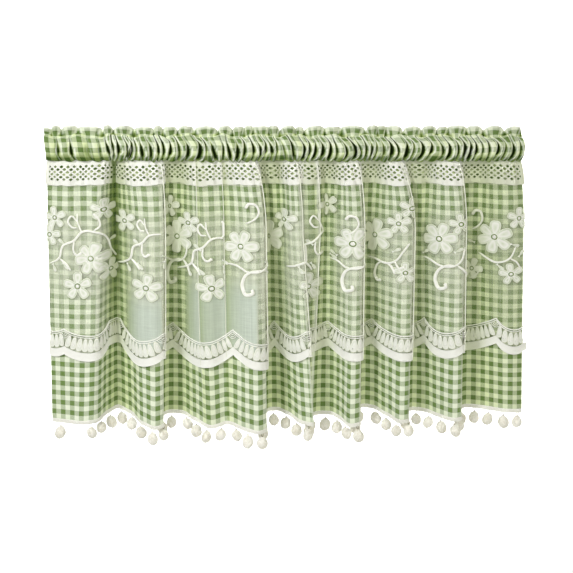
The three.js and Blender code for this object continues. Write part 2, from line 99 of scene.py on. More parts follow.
# The braid and its pompoms, counted from the left. One pompom is lost. A share of each
# ball's faces is drawn out into tufts.
TAPE = 1.2
BRAID_TOP = 0.4
BRAID_HEIGHT = 6
CORD_PITCH = 6
POMPOM_PITCH = 24.6
FIRST_POMPOM = 15
POMPOM_RADIUS = 8.2
POMPOM_LENGTH = 19.5
THREAD_LENGTH = 6.2
THREAD = 0.5
TUFTED = 0.42
LOST_POMPOM = 1

# Columns and rows of points in the skirt and in the net.
SKIRT_GRID = (408, 60)
NET_GRID = (459, 60)

# The stations that the folds pass through, left to right: where a station stands across
# at the seam, a quarter of the way down and at the hem, how far it stands in front of
# the cloth's middle plane at the seam and at the hem, and how low the hem hangs there.
TOP, UPPER, HEM, FWD_TOP, FWD_HEM, DROP = range(6)
FOLDS = np.array([
    (-364, -366, -368, 2, 14, 6), (-329, -332, -337, 9, 24, 6), (-310, -310, -321, 3, 30, 6),
    (-282, -287, -299, 9, 28, 4), (-268, -273, -282, -5, -2, -2), (-259, -262, -267, -9, -22, -4),
    (-250, -248, -247, 2, -8, 0), (-235, -225, -224, 8, 20, 10), (-208, -202, -205, 7, 32, 14),
    (-191, -188, -192, 3, 24, 12), (-186, -193, -199, -4, 2, 6), (-178, -180, -186, -8, -17, 3),
    (-160, -162, -164, -3, -15, 3), (-146, -144, -143, 5, 4, 8), (-130, -125, -117, 9, 26, 14),
    (-98, -94, -90, 2, 17, 10), (-76, -64, -62, 6, 35, 15), (-59, -46, -42, 8, 45, 17),
    (-48, -33, -29, 4, 35, 15), (-42, -39, -37, -4, 6, 5), (-34, -26, -25, -8, -17, -1),
    (-22, -16, -11, -1, -18, -1), (-9, -4, 3, -6, -7, 1), (7, 12, 28, 6, 19, 9),
    (17, 25, 45, 4, 26, 10), (23, 27, 39, -1, 11, 7), (34, 38, 34, 5, 1, 6),
    (48, 52, 41, 3, -8, 5), (60, 60, 55, -8, -17, 5), (74, 72, 74, -5, -12, 4),
    (86, 86, 86, 4, 4, 5), (98, 105, 103, 7, 31, 10), (109, 119, 118, 3, 26, 8),
    (115, 114, 112, -4, 3, 0), (126, 124, 123, -8, -17, -7), (143, 138, 141, -7, -14, -6),
    (155, 156, 160, 4, 5, -1), (166, 183, 182, 7, 27, 5), (176, 197, 195, 3, 23, 4),
    (182, 192, 189, -4, 3, 0), (190, 200, 201, -7, -16, -2), (204, 209, 214, -1, -17, -1),
    (222, 219, 227, -7, -9, -1), (235, 234, 241, 4, 7, 0), (253, 264, 265, 7, 26, 2),
    (264, 276, 278, 3, 22, 1), (270, 271, 273, -4, 2, -3), (279, 282, 286, -8, -16, -7),
    (303, 303, 309, -5, -12, -7), (317, 322, 331, 4, 2, -8), (341, 347, 354, 7, 12, -8),
    (360, 369, 375, 2, 4, -6),
], float)
LAST_FOLD = len(FOLDS) - 1

# The lace's scallops: where a cusp stands across, how low the lace hangs at it, and how
# low it hangs in the middle of the scallop on its right.
SCALLOPS = [
    (-368, 362, 363), (-345, 358, 368), (-284, 351, 350), (-256, 351, 378), (-195, 365, 366),
    (-178, 357, 381), (-78, 359, 380), (-14, 354, 374), (42, 362, 362), (70, 354, 368),
    (139, 350, 369), (224, 347, 366), (276, 356, 362), (336, 344, 361), (375, 357, 357),
]

# Soft creases that both cloths share: where they stand along the flat cloth, how far
# they drift by the hem, their width and height, and the shares of the skirt's length
# between which they show.
CREASES = [
    (22, 6, 5, 0.9, 0.0, 0.55), (61, -9, 7, -1.1, 0.05, 0.8), (92, 12, 6, 1.0, 0.0, 0.5),
    (243, 8, 5, 0.9, 0.0, 0.7), (262, -6, 6, -1.0, 0.1, 1.0), (389, 9, 6, 1.2, 0.0, 0.85),
    (418, 5, 8, -1.2, 0.0, 1.0), (437, -7, 6, 1.0, 0.25, 1.0), (548, 8, 5, 1.0, 0.0, 0.6),
    (640, 5, 5, 0.9, 0.0, 0.55), (742, -5, 6, -1.0, 0.1, 0.9), (905, 7, 6, 1.0, 0.0, 0.75),
    (1003, -8, 6, 0.9, 0.05, 0.6), (1101, 9, 7, -1.1, 0.0, 0.8), (1150, -6, 6, 1.0, 0.1, 1.0),
]

# The pocket's creases from left to right: where each stands at the pocket's top, middle
# and bottom, and how deep it is high up and low down.
POCKET_CREASES = np.array([
    (-368, -366, -366, 0.0, 0.0),
    (-349, -346, -341, 1.5, 4.0), (-330, -327, -321, 2.5, 6.0), (-304, -300, -296, 0.6, 0.9),
    (-287, -282, -278, 1.0, 1.4), (-275, -270, -266, 4.0, 6.5), (-266, -262, -263, 6.0, 3.5),
    (-260, -254, -259, 5.5, 7.0), (-248, -240, -246, 4.0, 4.5), (-241, -234, -240, 4.5, 6.0),
    (-232, -227, -230, 4.0, 2.5), (-224, -219, -218, 2.0, 6.5), (-214, -205, -207, 2.5, 5.0),
    (-201, -193, -197, 4.5, 5.5), (-193, -185, -190, 6.5, 4.0), (-183, -174, -182, 3.0, 6.5),
    (-170, -161, -165, 4.0, 3.5), (-158, -148, -154, 2.0, 6.5), (-142, -129, -136, 4.5, 7.5),
    (-129, -120, -122, 5.5, 2.0), (-117, -110, -105, 1.5, 6.0), (-101, -94, -96, 2.0, 4.0),
    (-91, -86, -84, 2.5, 6.0), (-78, -72, -76, 1.5, 6.0), (-69, -61, -67, 4.0, 4.5),
    (-56, -48, -53, 4.5, 6.0), (-47, -37, -44, 2.0, 6.0), (-38, -29, -35, 4.0, 5.0),
    (-30, -20, -23, 3.0, 6.0), (-18, -12, -14, 4.0, 3.0), (-9, -1, 1, 1.5, 2.5),
    (2, 12, 15, 6.5, 4.5), (20, 30, 23, 3.0, 6.5), (30, 38, 31, 3.5, 5.0),
    (41, 47, 39, 2.0, 6.0), (49, 58, 51, 3.0, 6.5), (60, 70, 64, 4.0, 6.5),
    (71, 79, 74, 3.5, 3.0), (82, 94, 87, 2.5, 5.0), (95, 108, 99, 6.0, 7.0),
    (105, 115, 109, 2.5, 3.5), (115, 124, 119, 4.5, 4.0), (125, 133, 126, 2.0, 5.5),
    (133, 140, 134, 3.0, 3.5), (142, 151, 145, 2.0, 4.0), (152, 163, 156, 5.0, 7.5),
    (161, 173, 165, 5.5, 3.5), (175, 187, 181, 2.5, 7.5), (185, 197, 190, 4.0, 3.0),
    (199, 211, 200, 5.0, 6.5), (215, 224, 213, 3.0, 6.5), (229, 241, 232, 2.5, 4.5),
    (240, 252, 244, 3.0, 7.0), (256, 265, 260, 3.5, 4.0), (266, 275, 269, 5.5, 7.0),
    (275, 284, 277, 3.0, 7.5), (283, 292, 284, 3.5, 6.5), (292, 302, 297, 3.0, 2.5),
    (302, 312, 306, 4.0, 3.0), (313, 326, 315, 4.5, 6.0), (327, 337, 329, 2.5, 3.5),
    (341, 349, 339, 3.0, 6.0), (353, 360, 352, 3.0, 3.5),
    (362, 366, 362, 0.0, 0.0),
])

# The ruffle's lobes from left to right: where each stands, how broad it is beside its
# neighbours, and how far its top stands over or under the ruffle's height.
RUFFLE_LOBES = np.array([
    (-364, 0.7, -2.5), (-351, 0.6, 0.6), (-329, 1.0, 0.0), (-298, 1.5, -0.6), (-271, 0.5, 1.2),
    (-246, 1.2, 0.3), (-213, 1.4, -1.2), (-195, 0.5, 0.8), (-174, 0.9, -0.6), (-153, 1.1, 0.4),
    (-120, 1.5, -0.3), (-91, 1.0, 0.5), (-72, 0.7, -0.8), (-56, 0.4, 0.6), (-34, 1.0, -0.4),
    (-18, 0.6, 0.5), (8, 1.0, 0.9), (21, 0.5, -0.9), (47, 1.2, 0.5), (72, 1.0, -0.8),
    (104, 1.4, 0.7), (134, 0.7, 1.0), (147, 0.4, -0.2), (168, 1.0, 0.4), (195, 1.2, -0.5),
    (221, 1.1, 0.3), (239, 0.6, -1.0), (264, 1.1, 0.6), (290, 1.0, -0.4), (320, 1.3, 0.3),
    (350, 1.2, -0.6), (366, 0.6, -2.5),
])

# By fold station: where the lace is folded sharp on a front edge, where it only has a sharp
# crease, and the middle of the narrow cleft on the left.
# They also place the painted highlights, the painted shade past each crease and the painted shade
# in the cleft.
SHARP_FOLDS = (9, 18, 24, 27, 32, 38, 45)
FLAT_CREASES = (13.6, 15)
CLEFT = 4.6


# ---- Arithmetic on arrays ------------------------------------------------------

def mix(one, other, part):
    return one + (other - one) * part


def ease(value, start=0.0, end=1.0):
    part = np.clip((value - start) / (end - start), 0, 1)
    return part * part * (3 - 2 * part)


def hill(value, middle, width):
    return np.exp(-((value - middle) / width) ** 2)


def smooth_path(points, steps):
    """Even samples of a smooth curve through the points."""
    points = np.array(points, float)
    ends = (2 * points[:1] - points[1:2], points, 2 * points[-1:] - points[-2:-1])
    padded = np.concatenate(ends)
    place = np.linspace(0, len(points) - 1, steps)
    index = np.minimum(place.astype(int), len(points) - 2)
    part = (place - index)[:, None]
    before, here, after, beyond = (padded[index + step] for step in range(4))
    return 0.5 * (
        2 * here + (after - before) * part
        + (2 * before - 5 * here + 4 * after - beyond) * part ** 2
        + (3 * here - before - 3 * after + beyond) * part ** 3)


# ---- The hanging cloth ---------------------------------------------------------

def station(index, share):
    """Where fold stations stand in plan at a share of the skirt's length."""
    row = FOLDS[index]
    early = 1 - (1 - np.minimum(share / UPPER_SHARE, 1)) ** 2
    late = np.maximum((share - UPPER_SHARE) / (1 - UPPER_SHARE), 0)
    across = mix(row[:, TOP], row[:, UPPER], early) + (row[:, HEM] - row[:, UPPER]) * late
    forward = mix(row[:, FWD_TOP], row[:, FWD_HEM], share ** DEEPENING)
    freed = mix(SEAM_PINCH, 1, ease(share, 0, PINCH_SHARE))
    return np.stack([across, -forward * freed], axis=1)


def plan(along, share):
    """The cloth's middle in plan, and its direction there."""
    place = np.clip(along, 0, 1) * LAST_FOLD
    index = np.minimum(place.astype(int), LAST_FOLD - 1)
    part = (place - index)[:, None]
    here, after = station(index, share), station(index + 1, share)
    before = station(np.maximum(index - 1, 0), share)
    before = np.where((index == 0)[:, None], 2 * here - after, before)
    beyond = station(np.minimum(index + 2, LAST_FOLD), share)
    beyond = np.where((index == LAST_FOLD - 1)[:, None], 2 * after - here, beyond)

    def knot(one, other):
        return np.maximum(np.sum((other - one) ** 2, axis=1) ** 0.25, 1e-4)[:, None]

    first, second, third = knot(before, here), knot(here, after), knot(after, beyond)
    leave = ((here - before) / first - (after - before) / (first + second)
             + (after - here) / second) * second
    arrive = ((after - here) / second - (beyond - here) / (second + third)
              + (beyond - after) / third) * second
    square = -3 * here + 3 * after - 2 * leave - arrive
    cube = 2 * here - 2 * after + leave + arrive
    spot = here + leave * part + square * part ** 2 + cube * part ** 3
    way = leave + 2 * square * part + 3 * cube * part ** 2
    return spot, way / np.linalg.norm(way, axis=1)[:, None]


def hem_drop(along):
    """How much lower or higher than its plain level the hem hangs."""
    place = np.clip(along, 0, 1) * LAST_FOLD
    index = np.minimum(place.astype(int), LAST_FOLD - 1)
    return mix(FOLDS[index, DROP], FOLDS[index + 1, DROP], ease(place - index))


# Places along the cloth, 0 to 1, at which it is measured.
MARKS = np.linspace(0, 1, 2449)


def ruler(share):
    """How many millimetres of cloth lie left of each of MARKS, at a share of the length."""
    spots = plan(MARKS, np.full(len(MARKS), float(share)))[0]
    steps = np.linalg.norm(np.diff(spots, axis=0), axis=1)
    return np.concatenate([[0], np.cumsum(steps)]), spots


HEM_RULER, HEM_SPOTS = ruler(1)
FLAT_WIDTH = HEM_RULER[-1]


def flat_at(along):
    """The place on the flat cloth, in millimetres, of a place along it, 0 to 1."""
    return np.interp(along, MARKS, HEM_RULER)


def along_at(flat):
    return np.interp(flat, HEM_RULER, MARKS)


def flat_of_fold(number):
    return flat_at(number / LAST_FOLD)


def hem_across(flat):
    """Where a place on the cloth stands across at the hem."""
    return np.interp(flat, HEM_RULER, HEM_SPOTS[:, 0])


def forward_at(flat):
    """How far forward a place on the cloth stands at the hem."""
    return np.interp(along_at(flat) * LAST_FOLD, np.arange(len(FOLDS)), FOLDS[:, FWD_HEM])


def seen_at(across, share=1.0):
    """The place along the cloth of the foremost layer at a distance across."""
    spots = HEM_SPOTS if share == 1 else ruler(share)[1]
    return MARKS[np.argmin(np.abs(spots[:, 0] - across) + spots[:, 1] / 20)]


def ripple(flat, share):
    """The small gathers below the seam and the soft creases, as height off the cloth."""
    near = 1.1 * hill(share, 0.05, 0.08) + 0.3 * hill(share, 0.2, 0.16)
    wander = 3 * np.sin(flat / 37) + 2 * np.sin(flat / 23 + 1)
    gathers = np.sin((flat + wander) * 2 * math.pi / GATHER_PITCH)
    height = near * ease(forward_at(flat), -12, 15) * gathers
    for middle, drift, width, rise, start, end in CREASES:
        shown = ease(share, start, start + 0.12) if start > 0 else ease(share, 0, 0.03)
        shown = shown * (1 - ease(share, end - 0.2, end + 0.05))
        height = height + rise * shown * hill(flat, middle + drift * share, width)
    return height


def cloth_spot(flat, share, lift):
    """Points of the hanging cloth, lifted off its middle, and past a selvedge if asked."""
    inside = np.clip(flat, 0, FLAT_WIDTH)
    along = along_at(inside)
    spot, way = plan(along, np.clip(share, 0, 1))
    height = lift + ripple(inside, share)
    reach = flat - inside
    return np.stack([
        spot[:, 0] + way[:, 0] * reach + way[:, 1] * height,
        spot[:, 1] + way[:, 1] * reach - way[:, 0] * height,
    ], axis=1), along


def skirt_spot(flat, share, lift=0.0):
    """Points of the gingham skirt, and past its hem if asked."""
    around, along = cloth_spot(flat, share, lift)
    down = SKIRT_TOP + SKIRT_LENGTH * share + hem_drop(along) * np.clip(share, 0, 1) ** DIPPING
    return np.column_stack([around, -down])


def lace_spot(flat, below, lift=0.0):
    """Points of the lace: flat along it, and below the ruffle's top edge."""
    share = np.clip((below - SKIRT_TOP) / SKIRT_LENGTH, 0, 1)
    base = mix(LACE_SEAM_OFFSET, LACE_OFFSET, ease(share, 0, PINCH_SHARE))
    return np.column_stack([cloth_spot(flat, share, base + lift)[0], -below])


# The scallops again, with each cusp's place on the flat cloth.
CUSPS = np.array([(flat_at(seen_at(across)), cusp, low) for across, cusp, low in SCALLOPS])


def scallop_at(flat):
    """Which scallop a place on the lace belongs to, and how far through it the place is."""
    index = np.clip(np.searchsorted(CUSPS[:, 0], flat, side="right") - 1, 0, len(CUSPS) - 2)
    left, right = CUSPS[index, 0], CUSPS[index + 1, 0]
    return index, np.clip((flat - left) / (right - left), 0, 1)


def lace_hang(flat):
    """How low the lace's scalloped edge hangs."""
    index, part = scallop_at(flat)
    left, right, low = CUSPS[index, 1], CUSPS[index + 1, 1], CUSPS[index, 2]
    sag = low - (left + right) / 2
    return mix(left, right, part) + sag * np.sin(math.pi * part) ** SCALLOP_FULLNESS


# ---- Making pieces -------------------------------------------------------------

def deselect():
    """Leaves edit mode, with nothing selected."""
    if bpy.context.object and bpy.context.object.mode != "OBJECT":
        bpy.ops.object.mode_set(mode="OBJECT")
    bpy.ops.object.select_all(action="DESELECT")


def only(piece):
    deselect()
    piece.select_set(True)
    bpy.context.view_layer.objects.active = piece


def edit(piece, *steps):
    """Works on all of a piece in edit mode, a step at a time."""
    only(piece)
    bpy.ops.object.mode_set(mode="EDIT")
    bpy.ops.mesh.select_all(action="SELECT")
    for step, settings in steps:
        step(**settings)
    bpy.ops.object.mode_set(mode="OBJECT")


def spots_of(piece):
    """Where each point of a piece is, in the mesh's own units."""
    numbers = np.empty(len(piece.data.vertices) * 3)
    piece.data.vertices.foreach_get("co", numbers)
    return numbers.reshape(-1, 3)


def put(piece, spots):
    """Moves each point of a piece to its place."""
    piece.data.vertices.foreach_set("co", np.asarray(spots, float).ravel())
    piece.data.update()


def mark(piece, name, values):
    """Writes a number on each point for the material to read."""
    layer = piece.data.attributes.get(name) or piece.data.attributes.new(name, "FLOAT", "POINT")
    layer.data.foreach_set("value", values)


def laid_grid(name, columns, rows, place):
    """A grid of cloth. place takes how far across and up each point is, 0 to 1, and gives where it
    hangs and where it lies on the flat cloth, in millimetres. It may also give how much painted
    shade and how much painted highlight each point takes, 0 to 1."""
    deselect()
    bpy.ops.mesh.primitive_grid_add(x_subdivisions=columns, y_subdivisions=rows, size=1)
    piece = bpy.context.object
    piece.name = name
    start = spots_of(piece)
    hung, flat, *marks = place(start[:, 0] + 0.5, start[:, 1] + 0.5)
    put(piece, hung * MM)
    lay_uv(piece, flat * MM)
    # The first mark is painted shade, the second a painted highlight.
    for mark_name, values in zip(("painted_shade", "painted_highlight"), marks):
        mark(piece, mark_name, values)
    return piece


def lay_uv(piece, flat):
    """Writes each point's place on the flat cloth as the piece's UV map."""
    mesh = piece.data
    while mesh.uv_layers:
        mesh.uv_layers.remove(mesh.uv_layers[0])
    layer = mesh.uv_layers.new(name="cloth")
    corner = np.empty(len(mesh.loops), int)
    mesh.loops.foreach_get("vertex_index", corner)
    layer.data.foreach_set("uv", flat[corner].ravel())


def apply_modifier(piece, kind, **settings):
    only(piece)
    modifier = piece.modifiers.new(kind.title(), kind)
    for key, value in settings.items():
        setattr(modifier, key, value)
    bpy.ops.object.modifier_apply(modifier=modifier.name)


def thicken(piece, thickness):
    apply_modifier(piece, "SOLIDIFY", thickness=thickness * MM, offset=0)


def smooth(piece, angle=50):
    only(piece)
    bpy.ops.object.shade_smooth_by_angle(angle=math.radians(angle))


def join(name, pieces):
    """Makes one named piece of several."""
    deselect()
    for piece in pieces:
        piece.select_set(True)
    bpy.context.view_layer.objects.active = pieces[0]
    bpy.ops.object.join()
    pieces[0].name = name
    return pieces[0]


def copied(pattern, place):
    """A copy of a pattern with its own mesh, its points moved by place, which gives where
    they hang and where they lie on the flat cloth, in millimetres."""
    made = bpy.data.objects.new(pattern.name, pattern.data.copy())
    bpy.context.collection.objects.link(made)
    hung, flat = place(spots_of(made))
    put(made, hung * MM)
    lay_uv(made, flat * MM)
    return made


def tube(name, path, radius, sides=6, squash=1.0):
    """A closed thread along a path of points, with its ends drawn to a point. Radius is
    one number or one for each point, and squash flattens it front to back."""
    path = np.array(path, float)
    count = len(path)
    radius = np.broadcast_to(np.asarray(radius, float), count)
    way = np.gradient(path, axis=0)
    way /= np.maximum(np.linalg.norm(way, axis=1), 1e-9)[:, None]
    side = np.cross(way, (0, 1, 0))
    side /= np.maximum(np.linalg.norm(side, axis=1), 1e-6)[:, None]
    front = np.cross(side, way)

    def place(across, up):
        step = np.rint(across * (count - 1)).astype(int)
        turn = up * 2 * math.pi
        thick = radius[step] * np.where((step == 0) | (step == count - 1), 0.02, 1)
        ring = (side[step] * np.cos(turn)[:, None]
                + front[step] * squash * np.sin(turn)[:, None]) * thick[:, None]
        return path[step] + ring, np.column_stack([across * 10, up * 3])

    piece = laid_grid(name, count - 1, sides, place)
    edit(piece, (bpy.ops.mesh.remove_doubles, {"threshold": WELD * MM}),
         (bpy.ops.mesh.normals_make_consistent, {"inside": False}))
    return piece


# ---- Materials -----------------------------------------------------------------

def tint(code):
    """A colour by its screen code, as the shader wants it."""
    parts = [int(code[place:place + 2], 16) / 255 for place in (0, 2, 4)]
    return (*[part / 12.92 if part <= 0.04045 else ((part + 0.055) / 1.055) ** 2.4
              for part in parts], 1)


class Shade:
    """A shader value. Arithmetic on it adds Math nodes to its material."""

    def __init__(self, tree, socket=None):
        self.tree = tree
        self.socket = socket

    def node(self, kind, settings=None, sockets=None, output=0):
        """A node of a kind, set first and then given the values or links of its sockets."""
        made = self.tree.nodes.new(kind)
        for key, value in (settings or {}).items():
            setattr(made, key, value)
        for key, value in (sockets or {}).items():
            if isinstance(value, Shade):
                self.tree.links.new(value.socket, made.inputs[key])
            else:
                made.inputs[key].default_value = value
        return Shade(self.tree, made.outputs[output] if made.outputs else None)

    def maths(self, operation, *values):
        return self.node("ShaderNodeMath", {"operation": operation}, dict(enumerate(values)))

    def __add__(self, other):
        return self.maths("ADD", self, other)

    def __sub__(self, other):
        return self.maths("SUBTRACT", self, other)

    def __rsub__(self, other):
        return self.maths("SUBTRACT", other, self)

    def __mul__(self, other):
        return self.maths("MULTIPLY", self, other)

    __radd__ = __add__
    __rmul__ = __mul__

    def wave(self):
        """The sine of this value counted in whole turns."""
        return self.maths("SINE", self * (2 * math.pi))

    def step(self, start, end, low=0.0, high=1.0):
        """An eased rise from low to high as this value goes from start to end."""
        return self.node("ShaderNodeMapRange", {"interpolation_type": "SMOOTHSTEP"},
                         {0: self, 1: start, 2: end, 3: low, 4: high})

    def between(self, one, other):
        """A colour between two, by this value."""
        return self.node("ShaderNodeMix", {"data_type": "RGBA"}, {0: self, 6: one, 7: other}, 2)

    def noise(self, across, down, scale, detail=2.0):
        """Noise over the flat cloth, stretched by its two scales per metre."""
        spot = self.node("ShaderNodeCombineXYZ", None, {0: across * scale[0], 1: down * scale[1]})
        return self.node("ShaderNodeTexNoise", None,
                         {"Vector": spot, "Scale": 1.0, "Detail": detail})

    def marked(self, name):
        """What mark wrote on the piece under a name."""
        return self.node("ShaderNodeAttribute", {"attribute_name": name}, output="Fac")

    def bump(self, height, distance, strength):
        return self.node("ShaderNodeBump", None,
                         {"Height": height, "Distance": distance, "Strength": strength})


def material(name, paint):
    """A cloth material. paint takes the shade and gives the main shader's sockets."""
    made = bpy.data.materials.new(name)
    made.use_nodes = True
    made.node_tree.nodes.clear()
    shade = Shade(made.node_tree)
    surface = shade.node("ShaderNodeBsdfPrincipled", None, paint(shade))
    shade.node("ShaderNodeOutputMaterial", None, {"Surface": surface})
    return made


def flat_cloth(shade):
    """Where a point lies on the flat cloth: across it and down it, in metres."""
    spot = shade.node("ShaderNodeUVMap", {"uv_map": "cloth"})
    parts = shade.node("ShaderNodeSeparateXYZ", None, {0: spot})
    return parts, Shade(shade.tree, parts.socket.node.outputs[1])


def woven_gingham(shade):
    """Gingham: even green and cream stripes both ways, crossing thread by thread, with painted
    shade that makes it darker and greener in creases and valleys, and a painted highlight on fold
    edges and ridges."""
    across, down = flat_cloth(shade)
    drift = shade.noise(across, down, (9, 9)) * 0.06
    warp = (across * (1 / (CHECK_WIDTH * MM)) + drift).wave().step(-0.16, 0.16)
    weft = (down * (1 / (CHECK_HEIGHT * MM)) + drift).wave().step(-0.16, 0.16)
    over = ((across * 900).wave() * (down * 900).wave()).step(-0.3, 0.3, 0.35, 0.65)
    slub_across = shade.noise(across, down, (40, 1500))
    slub_down = shade.noise(across, down, (1500, 40))
    ends = warp * slub_down.step(0.2, 0.8, 0.82, 1.0)
    picks = weft * slub_across.step(0.2, 0.8, 0.82, 1.0)
    dye = ends + (picks - ends) * over
    worn = shade.noise(across, down, (55, 55), 4.0)
    painted_shade = shade.marked("painted_shade")
    # Painted shade in three stages: lightly shaded, then greener and darker, then nearly
    # black-green in the darkest creases.
    shaded, low, dark = painted_shade.step(-0.1, 0.4), painted_shade.step(0.3, 0.75), painted_shade.step(0.6, 1.0)
    cream = low.between(shaded.between(
        worn.between(tint("f6faea"), tint("e9f1da")), tint("e2edba")), tint("8ea556"))
    green = low.between(shaded.between(
        worn.between(tint("537524"), tint("6f8f3c")), tint("50702a")), tint("36541a"))
    check = dark.between(dye.between(cream, green), tint("22340a"))
    weave = over * 0.6 + slub_across * 0.25 + slub_down * 0.25
    return {
        # A painted highlight, near white, along fold edges and ridges.
        "Base Color": shade.marked("painted_highlight").between(check, tint("fbfff0")),
        "Roughness": worn.step(0.3, 0.7, 0.82, 0.92),
        "Normal": shade.bump(weave, 0.0003, 0.5),
        "Specular IOR Level": 0.1,
    }


def lace_thread(fill, shadow, cord):
    """Close needlework: fine crossed threads inside brighter cords, with painted shade where it is
    marked, pale green and then dark olive.
    """
    def paint(shade):
        across, down = flat_cloth(shade)
        filled, painted_shade = shade.marked("filled"), shade.marked("painted_shade")
        stitch = (across * 620 + down * 350).wave() * (down * 620 - across * 350).wave()
        patchy = shade.noise(across, down, (70, 70), 3.0)
        fuzz = shade.noise(across, down, (900, 900))
        lit = filled.between(tint(cord), patchy.step(0.35, 0.7).between(tint(fill), tint(shadow)))
        # Painted shade: pale green, then dark olive where most shaded.
        shaded = painted_shade.step(-0.1, 0.6).between(lit, tint("d2d9b6"))
        return {
            "Base Color": painted_shade.step(0.55, 1.0).between(shaded, tint("6f8740")),
            "Roughness": fuzz.step(0.2, 0.8, 0.75, 0.95),
            "Normal": shade.bump(stitch * 0.5 + fuzz * 0.6, 0.0004, 0.6),
            "Sheen Weight": 0.2, "Sheen Roughness": 0.5, "Specular IOR Level": 0.25,
        }
    return paint


def sheer_net(shade):
    """Sheer net, closer and bluer where it is marked so, with streaks both ways, painted green
    shade in the valleys and a painted highlight on its folded edges.
    """
    across, down = flat_cloth(shade)
    closeness = shade.marked("closeness")
    rows = shade.noise(across, down, (40, 600), 3.0)
    posts = shade.noise(across, down, (320, 9), 3.0)
    mesh = (across * 700).wave() * (down * 700).wave()
    streaks = rows.step(0.35, 0.65, -0.03, 0.03) + posts.step(0.4, 0.7, -0.03, 0.07)
    thread = closeness.step(0.25, 0.6).between(tint("fdfff0"), tint("e6f0e4"))
    # Painted shade, then a painted highlight.
    shaded = shade.marked("painted_shade").between(thread, tint("a3b96c"))
    return {
        "Base Color": shade.marked("painted_highlight").between(shaded, tint("fbfdee")),
        "Alpha": closeness + streaks + mesh * 0.03,
        "Roughness": rows.step(0.3, 0.7, 0.8, 0.95),
        "Normal": shade.bump(mesh * 0.5 + rows, 0.0003, 0.4),
        "Sheen Weight": 0.15, "Specular IOR Level": 0.2,
    }


def fluffy_wool(shade):
    """Cut cotton pile, ivory with greyer roots, and twisted thread of a darker ecru."""
    spot = shade.node("ShaderNodeTexCoord", output="Object")
    tufts = shade.node("ShaderNodeTexNoise", None, {"Vector": spot, "Scale": 420, "Detail": 3})
    clouds = shade.node("ShaderNodeTexNoise", None, {"Vector": spot, "Scale": 60})
    pile = (tufts * 0.6 + clouds * 0.4).step(0.35, 0.62).between(tint("ece8d8"), tint("fffdf5"))
    return {
        "Base Color": shade.marked("twisted").between(pile, tint("8f8a70")),
        "Roughness": tufts.step(0.2, 0.8, 0.85, 1.0),
        "Normal": shade.bump(tufts, 0.0012, 0.8),
        "Sheen Weight": 0.4, "Sheen Roughness": 0.4, "Specular IOR Level": 0.2,
    }


gingham = material("woven_gingham", woven_gingham)
lace_solid = material("close_lace", lace_thread("e4ead6", "d0dabe", "fffff9"))
net_fabric = material("sheer_net", sheer_net)
gimp = material("cotton_gimp", lace_thread("fbfaf0", "f0eee0", "fefdf6"))
wool = material("pompom_pile", fluffy_wool)


# ---- Light and shade held on the cloth -----------------------------------------

def fold_edge_at(flat):
    """How near a place on the cloth is to a sharp front edge, where a painted highlight stands for
    the light it catches and the painted shade is taken off.
    """
    return np.max([hill(flat, flat_of_fold(number) + 0.6, 2.6) for number in SHARP_FOLDS], axis=0)


def shade_at(flat):
    """How much painted shade a place on the cloth takes: most in the valleys, none on the front
    edges, and some on the far side of a sharp crease and at the right end."""
    forward, across = forward_at(flat), hem_across(flat)
    shade_amount = 0.1 + 0.9 * (1 - ease(forward, -17, 22)) - 0.1 * ease(forward, 12, 30)
    for number in FLAT_CREASES:
        past = flat - flat_of_fold(number)
        shade_amount += np.where(past > 0, 0.75 * np.exp(-np.abs(past) / 16), 0)
    shade_amount += 0.3 * ease(across, 280, 325)
    shade_amount *= np.interp(across, (-20, 80), (1.0, 0.8)) * (1 - fold_edge_at(flat))
    return np.clip(shade_amount, 0, 1)


def cleft_at(flat):
    """How near a place on the cloth is to the middle of the narrow cleft on the left."""
    return np.exp(-((flat - flat_of_fold(CLEFT)) / 17) ** 6)


def read_mark(piece, name):
    """What mark wrote on each point of a piece, or nothing."""
    values = np.zeros(len(piece.data.vertices))
    if name in piece.data.attributes:
        piece.data.attributes[name].data.foreach_get("value", values)
    return values


def flat_spots(piece):
    """Each point's place on the flat cloth, read back from the UV map, in millimetres."""
    corner = np.empty(len(piece.data.loops), int)
    piece.data.loops.foreach_get("vertex_index", corner)
    values = np.empty(len(corner) * 2)
    piece.data.uv_layers["cloth"].data.foreach_get("uv", values)
    spots = np.empty((len(piece.data.vertices), 2))
    spots[corner] = values.reshape(-1, 2) / MM
    return spots


def shade_valleys(piece, most, flat=None):
    """Paints shade on what lies down between folds, where the light is green and low. It goes by
    each point's place on the flat cloth, or else by how far back the point stands."""
    if flat is None:
        shaded = ease(spots_of(piece)[:, 1] / MM, -14, 18)
    else:
        shaded = shade_at(flat)
    mark(piece, "painted_shade", np.maximum(read_mark(piece, "painted_shade"), most * shaded))


def dress(piece, finish, slot, *nodes):
    """Gives a piece its finish and its body, and hides the nodes that it stands for. The slot that
    it is given is not used.
    """
    piece.data.materials.clear()
    piece.data.materials.append(finish)
    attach(piece, "root")
    if nodes:
        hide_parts(*nodes)


# ---- Camera, light and floor ---------------------------------------------------

def aim(item, spot):
    item.rotation_euler = (Vector(spot) - item.location).to_track_quat("-Z", "Y").to_euler()


ELEVATION = math.radians(15)
DISTANCE = 3
AIMED_AT = Vector((0.0023, 0.0, -0.2555))
FLOOR = -1.15
WHITE, BUTTER = (1, 1, 1), (1, 0.93, 0.55)

deselect()
bpy.ops.object.camera_add()
camera = bpy.context.object
camera.location = AIMED_AT + DISTANCE * Vector((0, -math.cos(ELEVATION), math.sin(ELEVATION)))
aim(camera, AIMED_AT)
camera.data.lens = 120.8
camera.data.sensor_width = 36
bpy.context.scene.camera = camera

